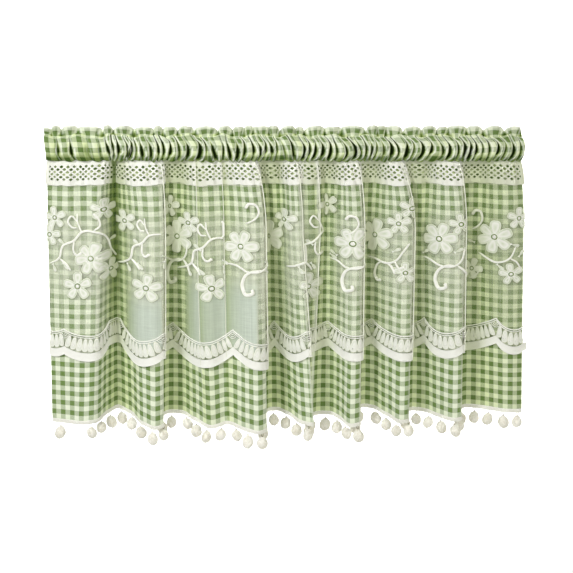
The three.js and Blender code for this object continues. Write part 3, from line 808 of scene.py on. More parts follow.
# Soft studio lamps: place, what each points at, width, height, watts, how many degrees it
# spreads and its colour. The key is narrow, and lights the left end alone.
for name, place, target, width, height, power, spread, colour in (
    ("key", (-2.1, -2.4, 1.8), (-0.28, 0, -0.2), 0.8, 0.8, 2.9, 34, WHITE),
    ("front", (0.5, -3.1, 0.8), (0, 0, -0.25), 1.6, 1.2, 23, 180, WHITE),
    ("warm", (1.5, -1.6, 1.2), (0.3, 0, -0.15), 0.7, 0.7, 6, 180, BUTTER),
    ("behind", (0.4, 2.6, 1.8), (0, 0, -0.3), 2.4, 2.0, 8, 180, WHITE),
    ("backdrop_near", (0, 2.6, 1.4), (0, 3.2, -1.1), 5.4, 2.0, 140, 115, WHITE),
    ("backdrop_middle", (0, 6.5, 2.4), (0, 6.5, -1.1), 6.0, 4.0, 330, 115, WHITE),
    ("backdrop_far", (0, 12, 3.0), (0, 12, -1.1), 8.0, 5.0, 560, 115, WHITE),
):
    deselect()
    bpy.ops.object.light_add(type="AREA", location=place)
    lamp = bpy.context.object
    lamp.name = f"lamp_{name}"
    lamp.visible_camera = False
    lamp.data.shape = "RECTANGLE"
    lamp.data.size, lamp.data.size_y = width, height
    lamp.data.energy, lamp.data.color = power, colour
    lamp.data.spread = math.radians(spread)
    aim(lamp, target)

world = bpy.data.worlds.new("studio")
world.use_nodes = True
world.node_tree.nodes["Background"].inputs["Color"].default_value = (1, 1, 0.985, 1)
world.node_tree.nodes["Background"].inputs["Strength"].default_value = 0.36
bpy.context.scene.world = world
bpy.context.scene.view_settings.view_transform = "Standard"

deselect()
bpy.ops.mesh.primitive_plane_add(size=60, location=(0, 0, FLOOR))
floor = bpy.context.object
floor.name = "studio_floor"


def pale_floor(shade):
    """Smooth pale paper, with the faintest cloud in it."""
    spot = shade.node("ShaderNodeTexCoord", output="Object")
    cloud = shade.node("ShaderNodeTexNoise", None, {"Vector": spot, "Scale": 0.6})
    return {"Base Color": cloud.between(tint("fbfbf9"), tint("f7f7f4")), "Roughness": 0.9}


floor.data.materials.append(material("pale_paper", pale_floor))


# ---- The gingham skirt ---------------------------------------------------------

# What share of the skirt is tucked up behind the pocket, and how much of the front's shade
# its back keeps.
TUCKED = 0.003
BACK_SHADE = 0.2


def skirt_place(across, up):
    """The skirt from its hem to its seam, where a sliver is tucked up behind the pocket."""
    share = mix(1.0, -TUCKED, up)
    flat = flat_at(across)
    hung = skirt_spot(flat, np.maximum(share, 0))
    hung[:, 2] += np.where(share < 0, -share * SKIRT_LENGTH, 0)
    # Painted shade under the pocket, in the cleft on the left and in the valleys, and a painted
    # highlight on the sharp front edges.
    under_pocket = 0.55 * (1 - ease(share, 0.02, 0.11))
    cleft = 0.36 * cleft_at(flat) * (1 - ease(share, 0.3, 0.8))
    shaded = np.maximum(0.33 * shade_at(flat) + cleft, under_pocket)
    return hung, np.column_stack([flat, -share * SKIRT_LENGTH]), shaded, 0.7 * fold_edge_at(flat)


def clear_back(piece):
    """Takes most of the valleys' shade and the fold edges' light off a thickened sheet's
    back, which is half of its points."""
    count = len(piece.data.vertices) // 2
    forward = -spots_of(piece)[:, 1]
    first_in_front = forward[:count].mean() > forward[count:].mean()
    back = slice(count, None) if first_in_front else slice(0, count)
    for name in ("painted_shade", "painted_highlight"):
        values = read_mark(piece, name)
        values[back] *= BACK_SHADE
        mark(piece, name, values)


panel = laid_grid("gingham_skirt", *SKIRT_GRID, skirt_place)
thicken(panel, CLOTH)
clear_back(panel)
smooth(panel)
dress(panel, gingham, "gingham", "gingham_panel")


# ---- The heading: rod pocket and ruffle ----------------------------------------

# How far across a gather its columns of points stand, closer beside the creases.
GATHER_STEPS = np.array(
    [0, 0.035, 0.075, 0.12, 0.18, 0.27, 0.4, 0.55, 0.7, 0.8, 0.87, 0.925, 0.965])
GATHER_COUNT = len(POCKET_CREASES) - 1

# What differs from one gather, crease or notch to the next: how far a gather bulges, how much
# painted shade it takes of its own, how low its crease bows, how far the crease wanders and where
# it fades out, how far the gather sags at the seam and leans on its neighbour, and each notch's
# depth.
DOME = rng.uniform(1.2, 2.6, GATHER_COUNT)
SHADED = rng.uniform(0.0, 0.22, GATHER_COUNT)
BOW_LOWNESS = rng.uniform(0.7, 1.15, GATHER_COUNT + 1)
WOBBLE = rng.uniform(-1.2, 1.2, GATHER_COUNT + 1)
SLOT_END = rng.uniform(0.72, 1.0, GATHER_COUNT + 1)
SAG = rng.uniform(1.0, 4.2, GATHER_COUNT)
LEAN = rng.uniform(0.04, 0.16, GATHER_COUNT)
NOTCH_DEPTH = rng.uniform(0.6, 1.35, len(RUFFLE_LOBES))

# The strip of cloth that is the heading, from the bottom seam up its front, over the
# ruffle's edge and down its back: for each row the angle round the pocket, how high up
# the ruffle it is, and which side it is on.
FRONT_ROWS = [(angle, 0.0, 1) for angle in np.linspace(178, 4, 19)]
RUFFLE_ROWS = [(0.0, height, 1) for height in (0.06, 0.2, 0.38, 0.58, 0.78, 0.92)]
EDGE_ROWS = [(0.0, 1.0, 0.55), (0.0, 1.03, 0.0), (0.0, 1.0, -0.55)]
BACK_ROWS = [(0.0, height, -1) for height in (0.9, 0.6, 0.3, 0.06)] + [
    (angle, 0.0, -1) for angle in np.linspace(6, 178, 10)]
HEADING_ROWS = np.array(FRONT_ROWS + RUFFLE_ROWS + EDGE_ROWS + BACK_ROWS)


def rounded(value):
    """Fills out a circle's sine or cosine towards a square with round corners."""
    return np.sign(value) * np.abs(value) ** POCKET_ROUNDNESS


def pocket_section(angle):
    """The pocket's plain cross-section: how far forward and how high off its middle."""
    return ((POCKET_DEPTH / 2 - 1) * rounded(np.sin(angle)),
            (POCKET_HEIGHT / 2 - 0.6) * rounded(np.cos(angle)))


# How much cloth lies between the bottom seam and each angle round the pocket's front.
ROUND = np.linspace(math.pi, 0, 181)
ROUND_STEPS = np.hypot(*np.diff(pocket_section(ROUND), axis=1))
ROUND_LENGTHS = np.concatenate([[0], np.cumsum(ROUND_STEPS)])


def crease_line(number, down):
    """Where a crease stands across, from the pocket's top, 0, to its bottom, 1."""
    top, middle, bottom = POCKET_CREASES[number, :3].T
    bow = (middle - (top + bottom) / 2) * np.sin(math.pi * down ** BOW_LOWNESS[number])
    return mix(top, bottom, down) + bow + WOBBLE[number] * np.sin(2 * math.pi * down)


def gather(number, part, down):
    """A gather between two creases, at a part of its width: where it stands across, how far it
    stands off the pocket, how much painted shade it takes in its slots and on its side away from
    the light, and how much painted highlight it takes beside its slots."""
    left, right = crease_line(number, down), crease_line(number + 1, down)
    broad = right - left
    sunk, painted_highlight = 0, 0
    for crease, away in ((number, part * broad), (number + 1, (1 - part) * broad)):
        depth = mix(POCKET_CREASES[crease, 3], POCKET_CREASES[crease, 4], ease(down, 0.2, 0.6))
        depth = depth * (1 - 0.8 * ease(down, SLOT_END[crease] - 0.18, SLOT_END[crease]))
        wide = mix(1.7, 4.6, ease(down, 0.1, 0.6)) * (0.5 + 0.09 * depth)
        sunk = np.maximum(sunk, depth * (1 - ease(away, 0, wide)))
        painted_highlight = np.maximum(painted_highlight, hill(away, wide + 0.3, 0.8) * np.clip(depth / 4, 0, 1))
    stands = DOME[number] * np.sin(math.pi * part) ** 0.7 - sunk
    overhang = LEAN[number] * broad * (1 - np.clip(sunk / 4, 0, 1)) * np.sin(math.pi * part)
    # Painted shade: darker on the gather's side away from the light, lower down and in its slots.
    far_side = 0.5 * ease(part, 0.3, 0.95) * ease(down, 0.05, 0.6) + SHADED[number]
    dark = np.maximum(np.clip(sunk / 4.2, 0, 1) ** 0.7, far_side)
    return mix(left, right, part) + overhang, stands, dark, painted_highlight


def heading_run():
    """How much flat cloth lies left of each column of the heading."""
    column = np.arange(GATHER_COUNT * len(GATHER_STEPS) + 1)
    number = np.minimum(column // len(GATHER_STEPS), GATHER_COUNT - 1)
    part = np.where(column < column[-1], GATHER_STEPS[column % len(GATHER_STEPS)], 1)
    across, stands = gather(number, part, np.full(len(column), 0.5))[:2]
    run = np.concatenate([[0], np.cumsum(np.hypot(np.diff(across), np.diff(stands)))])
    return number, part, run * FLAT_WIDTH / run[-1]


COLUMN_GATHER, COLUMN_PART, COLUMN_RUN = heading_run()


def ruffle_lobe(x):
    """For places across the ruffle: a turn count that is whole on every lobe, how far
    away the lobe's middle is, 0 to 1 at a notch, its top, and its notch's depth."""
    middle, broad, top = RUFFLE_LOBES.T
    notch = mix(middle[:-1], middle[1:], broad[:-1] / (broad[:-1] + broad[1:]))
    stops = np.sort(np.concatenate([middle, notch]))
    turn = np.interp(x, stops, np.arange(len(stops)) / 2)
    nearest = np.rint(turn).astype(int)
    away = np.abs(turn - nearest) * 2
    return turn, away, np.interp(x, middle, top), NOTCH_DEPTH[np.floor(turn).astype(int)]


def heading_place(across, up):
    """The heading's strip: the pocket's gathers, and the ruffle that rises from them."""
    column = np.rint(across * (len(COLUMN_RUN) - 1)).astype(int)
    row = np.rint(up * (len(HEADING_ROWS) - 1)).astype(int)
    angle, rise, side = HEADING_ROWS[row].T
    angle = np.radians(angle)
    down = (1 - np.cos(angle)) / 2
    in_ruffle = rise > 0

    x, stands, dark, painted_highlight = gather(COLUMN_GATHER[column], COLUMN_PART[column], down)
    facing = 0.45 + 0.55 * np.sin(angle) ** 0.7
    foot = 0.3 * (1 - ease(rise, 0, 0.5))
    stands = stands * np.where(in_ruffle, foot, facing)
    forward, height = pocket_section(angle)
    y = -(forward + stands) * side - side * SEAM_HALF_WIDTH * ease(down, 0.92, 1.0) - side * 0.6
    z = height - RUFFLE_HEIGHT - POCKET_HEIGHT / 2

    uneven = 1.8 * np.sin(x / 8.7) + 1.0 * np.sin(x / 3.9 + 1)
    z += uneven * (1 - ease(down, 0, 0.2))
    z -= SAG[COLUMN_GATHER[column]] * np.sin(math.pi * COLUMN_PART[column]) * ease(down, 0.7, 1)

    turn, away, top, notch_depth = ruffle_lobe(x)
    spread = ease(rise, 0, 0.9)
    wave = -RUFFLE_SWING * np.cos(2 * math.pi * turn) * spread
    fine = 1.5 * np.sin(turn * 17 + 1) * spread
    edge = RUFFLE_HEIGHT - 0.6 + top - RUFFLE_DIP * notch_depth * away ** 1.6
    ruffle_y = wave + fine - side * 0.9 - stands * side
    ruffle_z = -RUFFLE_HEIGHT + rise * edge + uneven * (1 - ease(rise, 0, 0.4))
    ruffle_x = x + RUFFLE_SLIP * np.sin(2 * math.pi * turn) * spread
    x = np.where(in_ruffle, ruffle_x, x)
    y = np.where(in_ruffle, ruffle_y, y)
    z = np.where(in_ruffle, ruffle_z, z)

    flat = COLUMN_RUN[column]
    wander = 1.8 * np.sin(flat / 33) + 1.2 * np.sin(flat / 14 + 1)
    raised = np.interp(-angle, -ROUND, ROUND_LENGTHS) + rise * 16 + 9.5 + wander
    # Painted shade in the ruffle's notches and over the pocket's lower part, and painted
    # highlights along the ruffle's top edge and down its lobes' folds.
    in_notch = 0.02 + 0.9 * away ** 1.7 * (1 - ease(rise, 0.15, 0.85))
    painted_shade = np.where(in_ruffle, in_notch, np.maximum(dark, 0.66 * ease(down, 0.4, 0.88)))
    edges = np.maximum(hill(rise, 1.04, 0.22), 0.9 * hill(away, 0.62, 0.12) * ease(rise, 0.1, 0.5))
    painted_highlight = np.where(in_ruffle, edges, painted_highlight)
    return (np.column_stack([x, y, z]), np.column_stack([flat, raised]),
            np.clip(painted_shade, 0, 1), np.clip(painted_highlight, 0, 1))


heading = laid_grid("gingham_heading", len(COLUMN_RUN) - 1, len(HEADING_ROWS) - 1, heading_place)
thicken(heading, CLOTH)
smooth(heading, 60)
dress(heading, gingham, "gingham", "heading")


# ---- The lace's openwork band --------------------------------------------------

# The band is measured along itself, at its own share of the skirt's length.
BAND_SHARE = 0.06
BAND_RULER = ruler(BAND_SHARE)[0]


def band_flat(run):
    """The hem's flat measure for a run measured along the band itself."""
    length = BAND_RULER[-1]
    inside = np.clip(run, 0, length)
    return flat_at(np.interp(inside, BAND_RULER, MARKS)) + (run - inside)


def band_wave(run):
    """How far the band strays from level."""
    return 0.9 * np.sin(run / 19) + 0.4 * np.sin(run / 8.3 + 1)


def openwork():
    """One eye of the openwork: a diamond of threads round a rounded diamond hole."""
    deselect()
    bpy.ops.mesh.primitive_circle_add(vertices=8, radius=1, fill_type="NGON")
    eye = bpy.context.object
    edit(eye, (bpy.ops.mesh.inset, {"thickness": 0.3}), (bpy.ops.mesh.delete, {"type": "FACE"}))
    spots = spots_of(eye)
    angle = np.arctan2(spots[:, 1], spots[:, 0])
    outer = np.hypot(spots[:, 0], spots[:, 1]) > 0.9
    reach = 1 / (np.abs(np.cos(angle)) + np.abs(np.sin(angle)))
    wide = np.where(outer, HOLE_PITCH / 2 * reach, HOLE_WIDE * reach ** 0.6)
    high = np.where(outer, HOLE_ROW * reach, HOLE_HIGH * reach ** 0.6)
    put(eye, np.column_stack([np.cos(angle) * wide, np.sin(angle) * high, 0 * angle]))
    return eye


def band_place(run, below, lift=0.0):
    flat = band_flat(run)
    return lace_spot(flat, below, lift), np.column_stack([run, below])


def make_band():
    """The openwork band: a lattice of eyes, and plain strips all round it."""
    start, end = -1.0, BAND_RULER[-1] + BAND_OVERHANG
    columns = int(end / HOLE_PITCH)
    pitch = (end - start) / columns
    top = SKIRT_TOP + EDGING
    foot = top + HOLE_ROW * (HOLE_ROWS + 1)
    eye = openwork()
    eyes = []
    for row in range(HOLE_ROWS):
        odd = row % 2
        for column in range(columns - odd):
            middle = start + (column + 0.5 + 0.5 * odd) * pitch
            below = top + HOLE_ROW * (row + 1)

            def place(spots):
                run = middle + spots[:, 0] * pitch / HOLE_PITCH
                return band_place(run, below - spots[:, 1] + band_wave(run))
            eyes.append(copied(eye, place))
    bpy.data.objects.remove(eye)

    def comb(name, edge, tooth, shift, reach, stray):
        """A strip beside the lattice, toothed to fill the diamonds' gaps, with an outer
        edge that strays a little."""
        def place(across, up):
            run = start + across * columns * pitch
            gap = np.abs(((run - start) / pitch + shift) % 1 - 0.5) * 2
            below = mix(edge + tooth * gap, edge + reach + stray(run), up)
            return band_place(run, below + band_wave(run))
        return laid_grid(name, columns * 8, 5, place)

    def selvedge(name, edge, inward):
        """A plain strip down an end of the lattice, over the last half diamonds."""
        def place(across, up):
            run = edge + inward * HOLE_PITCH * 0.55 * across
            return band_place(run, mix(top, foot, up) + band_wave(run), 0.1)
        return laid_grid(name, 4, 16, place)

    band = join("lace_band", [
        *eyes,
        comb("band_edging", top, HOLE_ROW, 0, -EDGING, lambda run: 0.9 * np.sin(run / 9)),
        comb("band_foot", foot, -HOLE_ROW, 0.5, SKIRT_TOP + BAND_HEIGHT - foot,
             lambda run: 1.2 * np.abs(np.sin(run / 7.5))),
        selvedge("band_left", start, 1), selvedge("band_right", end, -1)])
    thicken(band, LACE)
    smooth(band, 40)
    return band


lace_band = make_band()
band_flats = band_flat(flat_spots(lace_band)[:, 0])
# Painted shade in the cleft and in the valleys.
mark(lace_band, "painted_shade", 0.9 * cleft_at(band_flats))
shade_valleys(lace_band, 0.6, band_flats)
dress(lace_band, lace_solid, "lace", "lace_overlay")


# ---- The net -------------------------------------------------------------------

# Where the net lies closer: from and to across, from and to below, and how close.
CLOSE_NET = [
    (-250, -190, 255, 352, 0.5), (-156, -42, 240, 352, 0.52), (-40, 10, 205, 300, 0.1),
]


def net_place(across, up):
    """The net, from under the border's solid band to behind the openwork band's foot."""
    flat = flat_at(across) + np.where(across > 0.9999, LACE_OVERHANG, 0)
    top = SKIRT_TOP + BAND_HEIGHT - 3
    below = mix(lace_hang(flat) - BORDER_BAND + 1, top, up)
    return lace_spot(flat, below), np.column_stack([flat, below])


def closeness(spots, flat):
    """How close the net is: closer behind the flowers and in its clear patches, and sheer
    by the border and in the valleys."""
    across, below = spots[:, 0], -spots[:, 2]
    close = 0.055 + 0.17 * ease(below, 122, 165) * (1 - 0.8 * ease(below, 235, 285))
    for left, right, start, end, amount in CLOSE_NET:
        inside = ease(across, left - 5, left + 5) * (1 - ease(across, right - 4, right + 4))
        inside *= ease(below, start - 25, start + 45) * (1 - ease(below, end - 5, end + 5))
        close += amount * inside
    return np.clip(close * (1 - 0.7 * ease(-forward_at(flat), -4, 14)), 0, 0.95)


def net_edge(number):
    """The net's edge at a fold station: a sharp fold where it lies double, a crease, or
    the cord down a selvedge."""
    flat = flat_of_fold(number) + (LACE_OVERHANG if number == LAST_FOLD else 0)
    below = np.linspace(SKIRT_TOP + 1, lace_hang(np.array([flat]))[0] - 1, 70)
    path = lace_spot(np.full(len(below), flat), below, LACE)
    edge = tube("net_edge", path, 0.85 if number in SHARP_FOLDS else 0.55, 6, 0.7)
    mark(edge, "closeness", np.full(len(edge.data.vertices), 0.95))
    # A painted highlight along the whole edge.
    mark(edge, "painted_highlight", np.ones(len(edge.data.vertices)))
    return edge


net = laid_grid("lace_net", *NET_GRID, net_place)
thicken(net, NET)
smooth(net)
net_flats = flat_spots(net)[:, 0]
mark(net, "closeness", closeness(spots_of(net) / MM, net_flats))
# Painted shade in the cleft and in the valleys.
mark(net, "painted_shade", 0.85 * cleft_at(net_flats))
shade_valleys(net, 0.8, net_flats)
net_edges = [net_edge(number) for number in sorted((0, *SHARP_FOLDS, *FLAT_CREASES, LAST_FOLD))]
net = join("lace_net", [net, *net_edges])
dress(net, net_fabric, "lace", "lace_overlay")


# ---- The scalloped border ------------------------------------------------------

def border_place(across, up):
    """The border's solid band, beaded along both edges."""
    flat = mix(-1.0, FLAT_WIDTH + LACE_OVERHANG, across)
    below = lace_hang(flat) - up * BORDER_BAND
    bead = 0.5 * hill(up, 0.05, 0.08) + 0.3 * hill(up, 0.95, 0.06)
    return lace_spot(flat, below, bead), np.column_stack([flat, below])


def petal_pattern(name, length, width, rim, waist, points=18):
    """A flat petal from the origin along X: a raised rim round a quilted filling. Its
    waist is how broad it is at the origin, beside its width."""
    deselect()
    bpy.ops.mesh.primitive_circle_add(vertices=points, radius=1, fill_type="NGON")
    petal = bpy.context.object
    petal.name = name
    spots = spots_of(petal)
    blunt = np.sign(spots) * np.abs(spots) ** 0.68
    run = 0.5 + 0.5 * blunt[:, 0]
    swell = mix(waist, 1.0, ease(run, 0.05, 0.7))
    put(petal, np.column_stack([length * run, width / 2 * blunt[:, 1] * swell, 0 * run]))
    rings = []
    for thickness, rise in ((rim * 0.5, 0.45), (rim * 0.45, 0.1), (rim * 0.45, -0.35),
                            (width * 0.12, 0.2)):
        rings += [(bpy.ops.mesh.inset, {"thickness": thickness}),
                  (bpy.ops.transform.translate, {"value": (0, 0, rise)})]
    edit(petal, *rings, (bpy.ops.mesh.poke, {}))
    upper = len(petal.data.vertices)
    apply_modifier(petal, "SOLIDIFY", thickness=0.5, offset=-1)
    filled, shaded_outline = np.zeros((2, len(petal.data.vertices)))
    filled[3 * points:upper] = 1
    # The petal's outer edge carries a painted shadow line.
    shaded_outline[:points] = shaded_outline[upper:upper + points] = 1
    mark(petal, "filled", filled)
    mark(petal, "painted_shade", shaded_outline)
    return petal


def make_sticks():
    """The ribs of each scallop's fan, spread from its upper cord to its solid band."""
    stick = petal_pattern("fan_stick", 1.0, 1.0, 0.16, 0.8, 12)
    # The sticks keep half of the painted shadow line.
    mark(stick, "filled", 0.4 * read_mark(stick, "filled"))
    mark(stick, "painted_shade", 0.5 * read_mark(stick, "painted_shade"))
    sticks = []
    for scallop in range(len(CUSPS) - 1):
        left, right = CUSPS[scallop, 0], CUSPS[scallop + 1, 0]
        count = max(int(round((right - left) / STICK_PITCH)), 1)
        for number in range(count):
            part = (number + 0.5) / count
            foot = mix(left, right, part)
            head = mix(left, right, mix(part, 0.5, 0.14))
            low = lace_hang(np.array([foot]))[0] - BORDER_BAND - 1.2
            high = lace_hang(np.array([head]))[0] - BORDER_HEIGHT + 4.0
            wide = (right - left) / count * 1.2

            def place(spots):
                run = 1 - spots[:, 0]
                flat = mix(foot, head, run) + spots[:, 1] * wide * mix(1.0, 0.72, run)
                below = mix(low, high, run)
                lift = 0.6 + spots[:, 2] * 0.9
                return lace_spot(flat, below, lift), np.column_stack([flat, below])
            sticks.append(copied(stick, place))
    bpy.data.objects.remove(stick)
    return join("fan_sticks", sticks)


def border_cord(name, rise, lift, radius):
    """A cord that follows the scallops, a rise above their edge."""
    flat = np.linspace(-0.8, FLAT_WIDTH + LACE_OVERHANG - 0.5, 620)
    return tube(name, lace_spot(flat, lace_hang(flat) - rise, lift), radius)


def cusp_arcs(flat):
    """Little arcs one inside another, over a cusp between two scallops."""
    turn = np.linspace(0.12, 0.88, 15) * math.pi
    low = lace_hang(np.array([flat]))[0] - BORDER_HEIGHT + 5
    return [tube("cusp_arc", lace_spot(flat + radius * 0.9 * np.cos(turn),
                                       low + radius * np.sin(turn), 1.9), 0.62, 5)
            for radius in ARC_RADII]


border_band = laid_grid("lace_border_band", 760, 8, border_place)
thicken(border_band, LACE)
border_parts = [
    border_band, make_sticks(),
    border_cord("upper_cord", BORDER_HEIGHT, 0.9, 1.0),
    border_cord("second_cord", BORDER_HEIGHT - 3.2, 0.8, 0.75),
    border_cord("edge_cord", 0.2, 0.2, 0.9),
]
for cusp in CUSPS[1:-1, 0]:
    border_parts += cusp_arcs(cusp)
border = join("lace_border", border_parts)
smooth(border)
shade_valleys(border, 0.42)
dress(border, lace_solid, "lace", "lace_overlay")


# ---- Flowers and vines ---------------------------------------------------------

def turned(spots, angle, size=1.0):
    """Points turned about Z and resized."""
    cos, sin = math.cos(angle), math.sin(angle)
    x, y = spots[:, 0], spots[:, 1]
    return np.column_stack([x * cos - y * sin, x * sin + y * cos, spots[:, 2]]) * (size, size, 1)


def flower_pattern(name, petals, reach, width, ring):
    """A flower face up on the origin: petals, joined at their roots, round a button with
    a cord ring on its edge."""
    root = ring - 2.2
    petal = petal_pattern("petal", reach - root, width, 1.5, 0.74)
    parts = []
    for number in range(petals):
        turn = 2 * math.pi * number / petals + rng.uniform(-0.06, 0.06)
        size = rng.uniform(0.93, 1.05)

        def place(spots):
            spread = turned(spots * (size, size, 1) + (root, 0, 0), turn) / MM
            return spread, spread[:, :2]
        parts.append(copied(petal, place))
    bpy.data.objects.remove(petal)
    # Two cord rings: the outer one plain, the inner one painted dark all through as a shadow round
    # the button.
    for radius, thick, sunk in ((ring + 0.6, 0.7, 0), (ring - 0.9, 0.8, 1)):
        deselect()
        bpy.ops.mesh.primitive_torus_add(major_radius=radius, minor_radius=thick,
                                         major_segments=22, minor_segments=6)
        cord = bpy.context.object
        mark(cord, "painted_shade", np.full(len(cord.data.vertices), float(sunk)))
        parts.append(cord)
    deselect()
    bpy.ops.mesh.primitive_uv_sphere_add(segments=12, ring_count=6, radius=ring - 1.9)
    button = bpy.context.object
    edit(button, (bpy.ops.transform.resize, {"value": (1, 1, 0.35)}),
         (bpy.ops.transform.translate, {"value": (0, 0, 0.3)}))
    return join(name, [*parts, button])


def lay_on_lace(pattern, across, below, turn, size=1.0):
    """Lays a flat pattern on the lace, its origin at a place across and below. It keeps
    its width across the layer that it lies on, and past a fold it follows the cloth."""
    share = (below - SKIRT_TOP) / SKIRT_LENGTH
    lengths, layer = ruler(share)
    middle = np.argmin(np.abs(MARKS - seen_at(across, share)))
    backward = np.flatnonzero(np.diff(layer[:, 0]) <= 0)
    first = max([index + 1 for index in backward if index < middle], default=0)
    last = min([index for index in backward if index >= middle], default=len(MARKS) - 1)
    shown = layer[first:last + 1, 0]

    def place(spots):
        x, up, thick = turned(spots, turn, size).T
        over = across + x - np.clip(across + x, shown[0], shown[-1])
        run = np.interp(across + x, shown, lengths[first:last + 1]) + over
        flat = flat_at(np.interp(np.clip(run, 0, lengths[-1]), lengths, MARKS))
        return lace_spot(flat, below - up, LACE + thick), np.column_stack([run, below - up])
    return copied(pattern, place)


FLOWERS = {
    "big": flower_pattern("big_flower", 6, 26, 17, 4.9),
    "low": flower_pattern("low_flower", 5, 23, 15.5, 4.9),
    "small": flower_pattern("small_flower", 5, 18.5, 12, 4.0),
}
leaf = petal_pattern("leaf", 15, 7, 1.6, 0.3)
LEAF_SIZE = 0.9

# Where each flower stands across and below, and its turn.
BLOSSOMS = {
    "low": [(-321, 249, 0.35), (-214, 252, 0.2), (-115, 253, 0.5), (34, 253, 0.3)],
    "big": [(-299, 205, 0.2), (-166, 176, 0.5), (-67, 186, 0.1), (-25, 176, 0.4),
            (105, 182, 0.0), (142, 173, 0.3), (240, 176, 0.15), (325, 174, 0.4)],
    "small": [(-353, 142, 0.5), (-282, 129, 0.3), (-245, 149, 0.6), (-179, 128, 0.2),
              (-147, 152, 0.5), (2, 147, 0.3), (67, 125, 0.7), (176, 151, 0.4),
              (193, 128, 0.1), (270, 152, 0.5), (359, 144, 0.3), (-275, 226, 0.2),
              (292, 228, 0.0), (350, 232, 0.5), (186, 228, 0.4), (-362, 169, 0.2)],
}
motif_parts = [lay_on_lace(FLOWERS[kind], *place)
               for kind, places in BLOSSOMS.items() for place in places]

# Vines, each from its own start: every stroke's points across and up, and its width at the
# start, the middle and the end.
SPRAY = [
    ([(-14, -8), (4, -4), (19, 5), (25, 24), (40, 32), (52, 45), (72, 46), (90, 36),
      (104, 16), (118, 2)], (3.0, 3.6, 3.0)),
    ([(52, 44), (46, 60), (45, 74)], (2.6, 2.4, 1.8)),
    ([(46, 60), (38, 70), (33, 62), (38, 53), (45, 52)], (2.4, 3.0, 2.4)),
    ([(70, 47), (78, 55), (76, 68), (70, 74)], (2.4, 3.0, 3.6)),
    ([(41, 33), (40, 18), (45, 10), (53, 14)], (2.6, 3.0, 4.6)),
    ([(20, 4), (30, -4), (36, -14)], (2.6, 3.6, 2.2)),
]
SCROLL = [
    ([(30, 14), (16, 13), (3, 5), (-3, -10), (3, -24), (14, -22), (13, -15)], (2.2, 5.6, 5.0)),
    ([(-32, 22), (-14, 20), (6, 12), (24, 12), (36, 22), (40, 42)], (2.4, 3.2, 2.4)),
    ([(30, 14), (40, 4), (45, -10)], (2.4, 3.8, 2.0)),
]
RISING = [
    ([(-10, 5), (10, 2), (30, -2), (46, 4), (56, 19), (64, 32)], (2.6, 3.4, 2.8)),
    ([(22, 0), (12, -8), (7, -22), (13, -31), (21, -30)], (2.2, 3.8, 4.4)),
    ([(26, 0), (38, -6), (45, -18)], (2.4, 3.6, 4.0)),
    ([(44, 2), (50, -8), (57, -5)], (2.4, 3.2, 4.4)),
]
TWIG = [
    ([(-6, 3), (6, -2), (24, -9), (43, -2), (52, 17)], (2.4, 3.2, 2.2)),
    ([(44, -2), (53, -8), (59, -18)], (2.2, 2.8, 2.0)),
    ([(-22, -39), (-10, -33), (-2, -22)], (2.0, 2.4, 2.0)),
]
CURL = [([(0, 0), (12, 6), (20, 17), (17, 29), (8, 31), (2, 24)], (2.4, 3.2, 4.8))]

# A spray's leaves: across and up from its start, and each one's turn.
SPRAY_LEAVES = [
    (24, -2, -0.9), (8, -5, -1.2), (88, 30, 0.4), (28, 26, 2.4), (58, 10, -0.5), (60, 1, -1.4),
]
# Where each spray starts, across and below, and how much of its length the cloth shows.
SPRAY_STARTS = [(-366, 210, 125), (-250, 211, 66), (-156, 219, 72), (14, 213, 60)]
# Where each of the other vines starts, and each loose leaf with its turn.
OTHER_VINES = [
    (SCROLL, -184, 226), (SCROLL, -62, 236), (SCROLL, 94, 232), (SCROLL, 238, 230),
    (RISING, 136, 213), (TWIG, 308, 205), (CURL, 288, 166), (CURL, 94, 170), (CURL, -60, 150),
]
LOOSE_LEAVES = [
    (348, 184, -0.3), (296, 186, 2.8), (330, 217, -0.7), (214, 202, 0.4), (84, 204, 2.6),
    (168, 196, 0.5), (120, 214, -0.9), (-34, 210, 0.6), (360, 205, 0.9), (262, 196, 0.5),
]


def vine_on_lace(strokes, across, below, size=1.0, shown=math.inf):
    """Embroiders a vine's strokes on the lace from a place across and below, where they
    stay on the cloth and within what it shows of them."""
    share = (below - SKIRT_TOP) / SKIRT_LENGTH
    lengths = ruler(share)[0]
    start = np.interp(seen_at(across, share), MARKS, lengths)
    made = []
    for points, widths in strokes:
        path = smooth_path(points, max(5 * len(points), 12)) * size
        run = start + path[:, 0]
        kept = (run > 1.5) & (run < lengths[-1] - 1.5) & (path[:, 0] < shown)
        if np.count_nonzero(kept) >= 4:
            flat = flat_at(np.interp(run[kept], lengths, MARKS))
            spots = lace_spot(flat, below - path[kept, 1], 1.0)
            made.append(vine_cord(spots, widths))
    return made


def vine_cord(spots, widths):
    """One stroke of a vine: a flattened cord through the spots, with painted shade along its
    sides.
    """
    part = np.linspace(0, 1, len(spots))
    radius = 0.62 * np.interp(part, (0, 0.5, 1), widths) * np.minimum(1, 0.35 + part * 6)
    cord = tube("vine", spots, radius, 8, 0.45)
    around = spots_of(cord) / MM
    nearest = np.argmin(np.linalg.norm(around[:, None] - spots[None], axis=2), axis=1)
    off = np.linalg.norm((around - spots[nearest])[:, [0, 2]], axis=1)
    mark(cord, "painted_shade", 0.85 * ease(off, 0.8 * radius[nearest], radius[nearest]))
    return cord


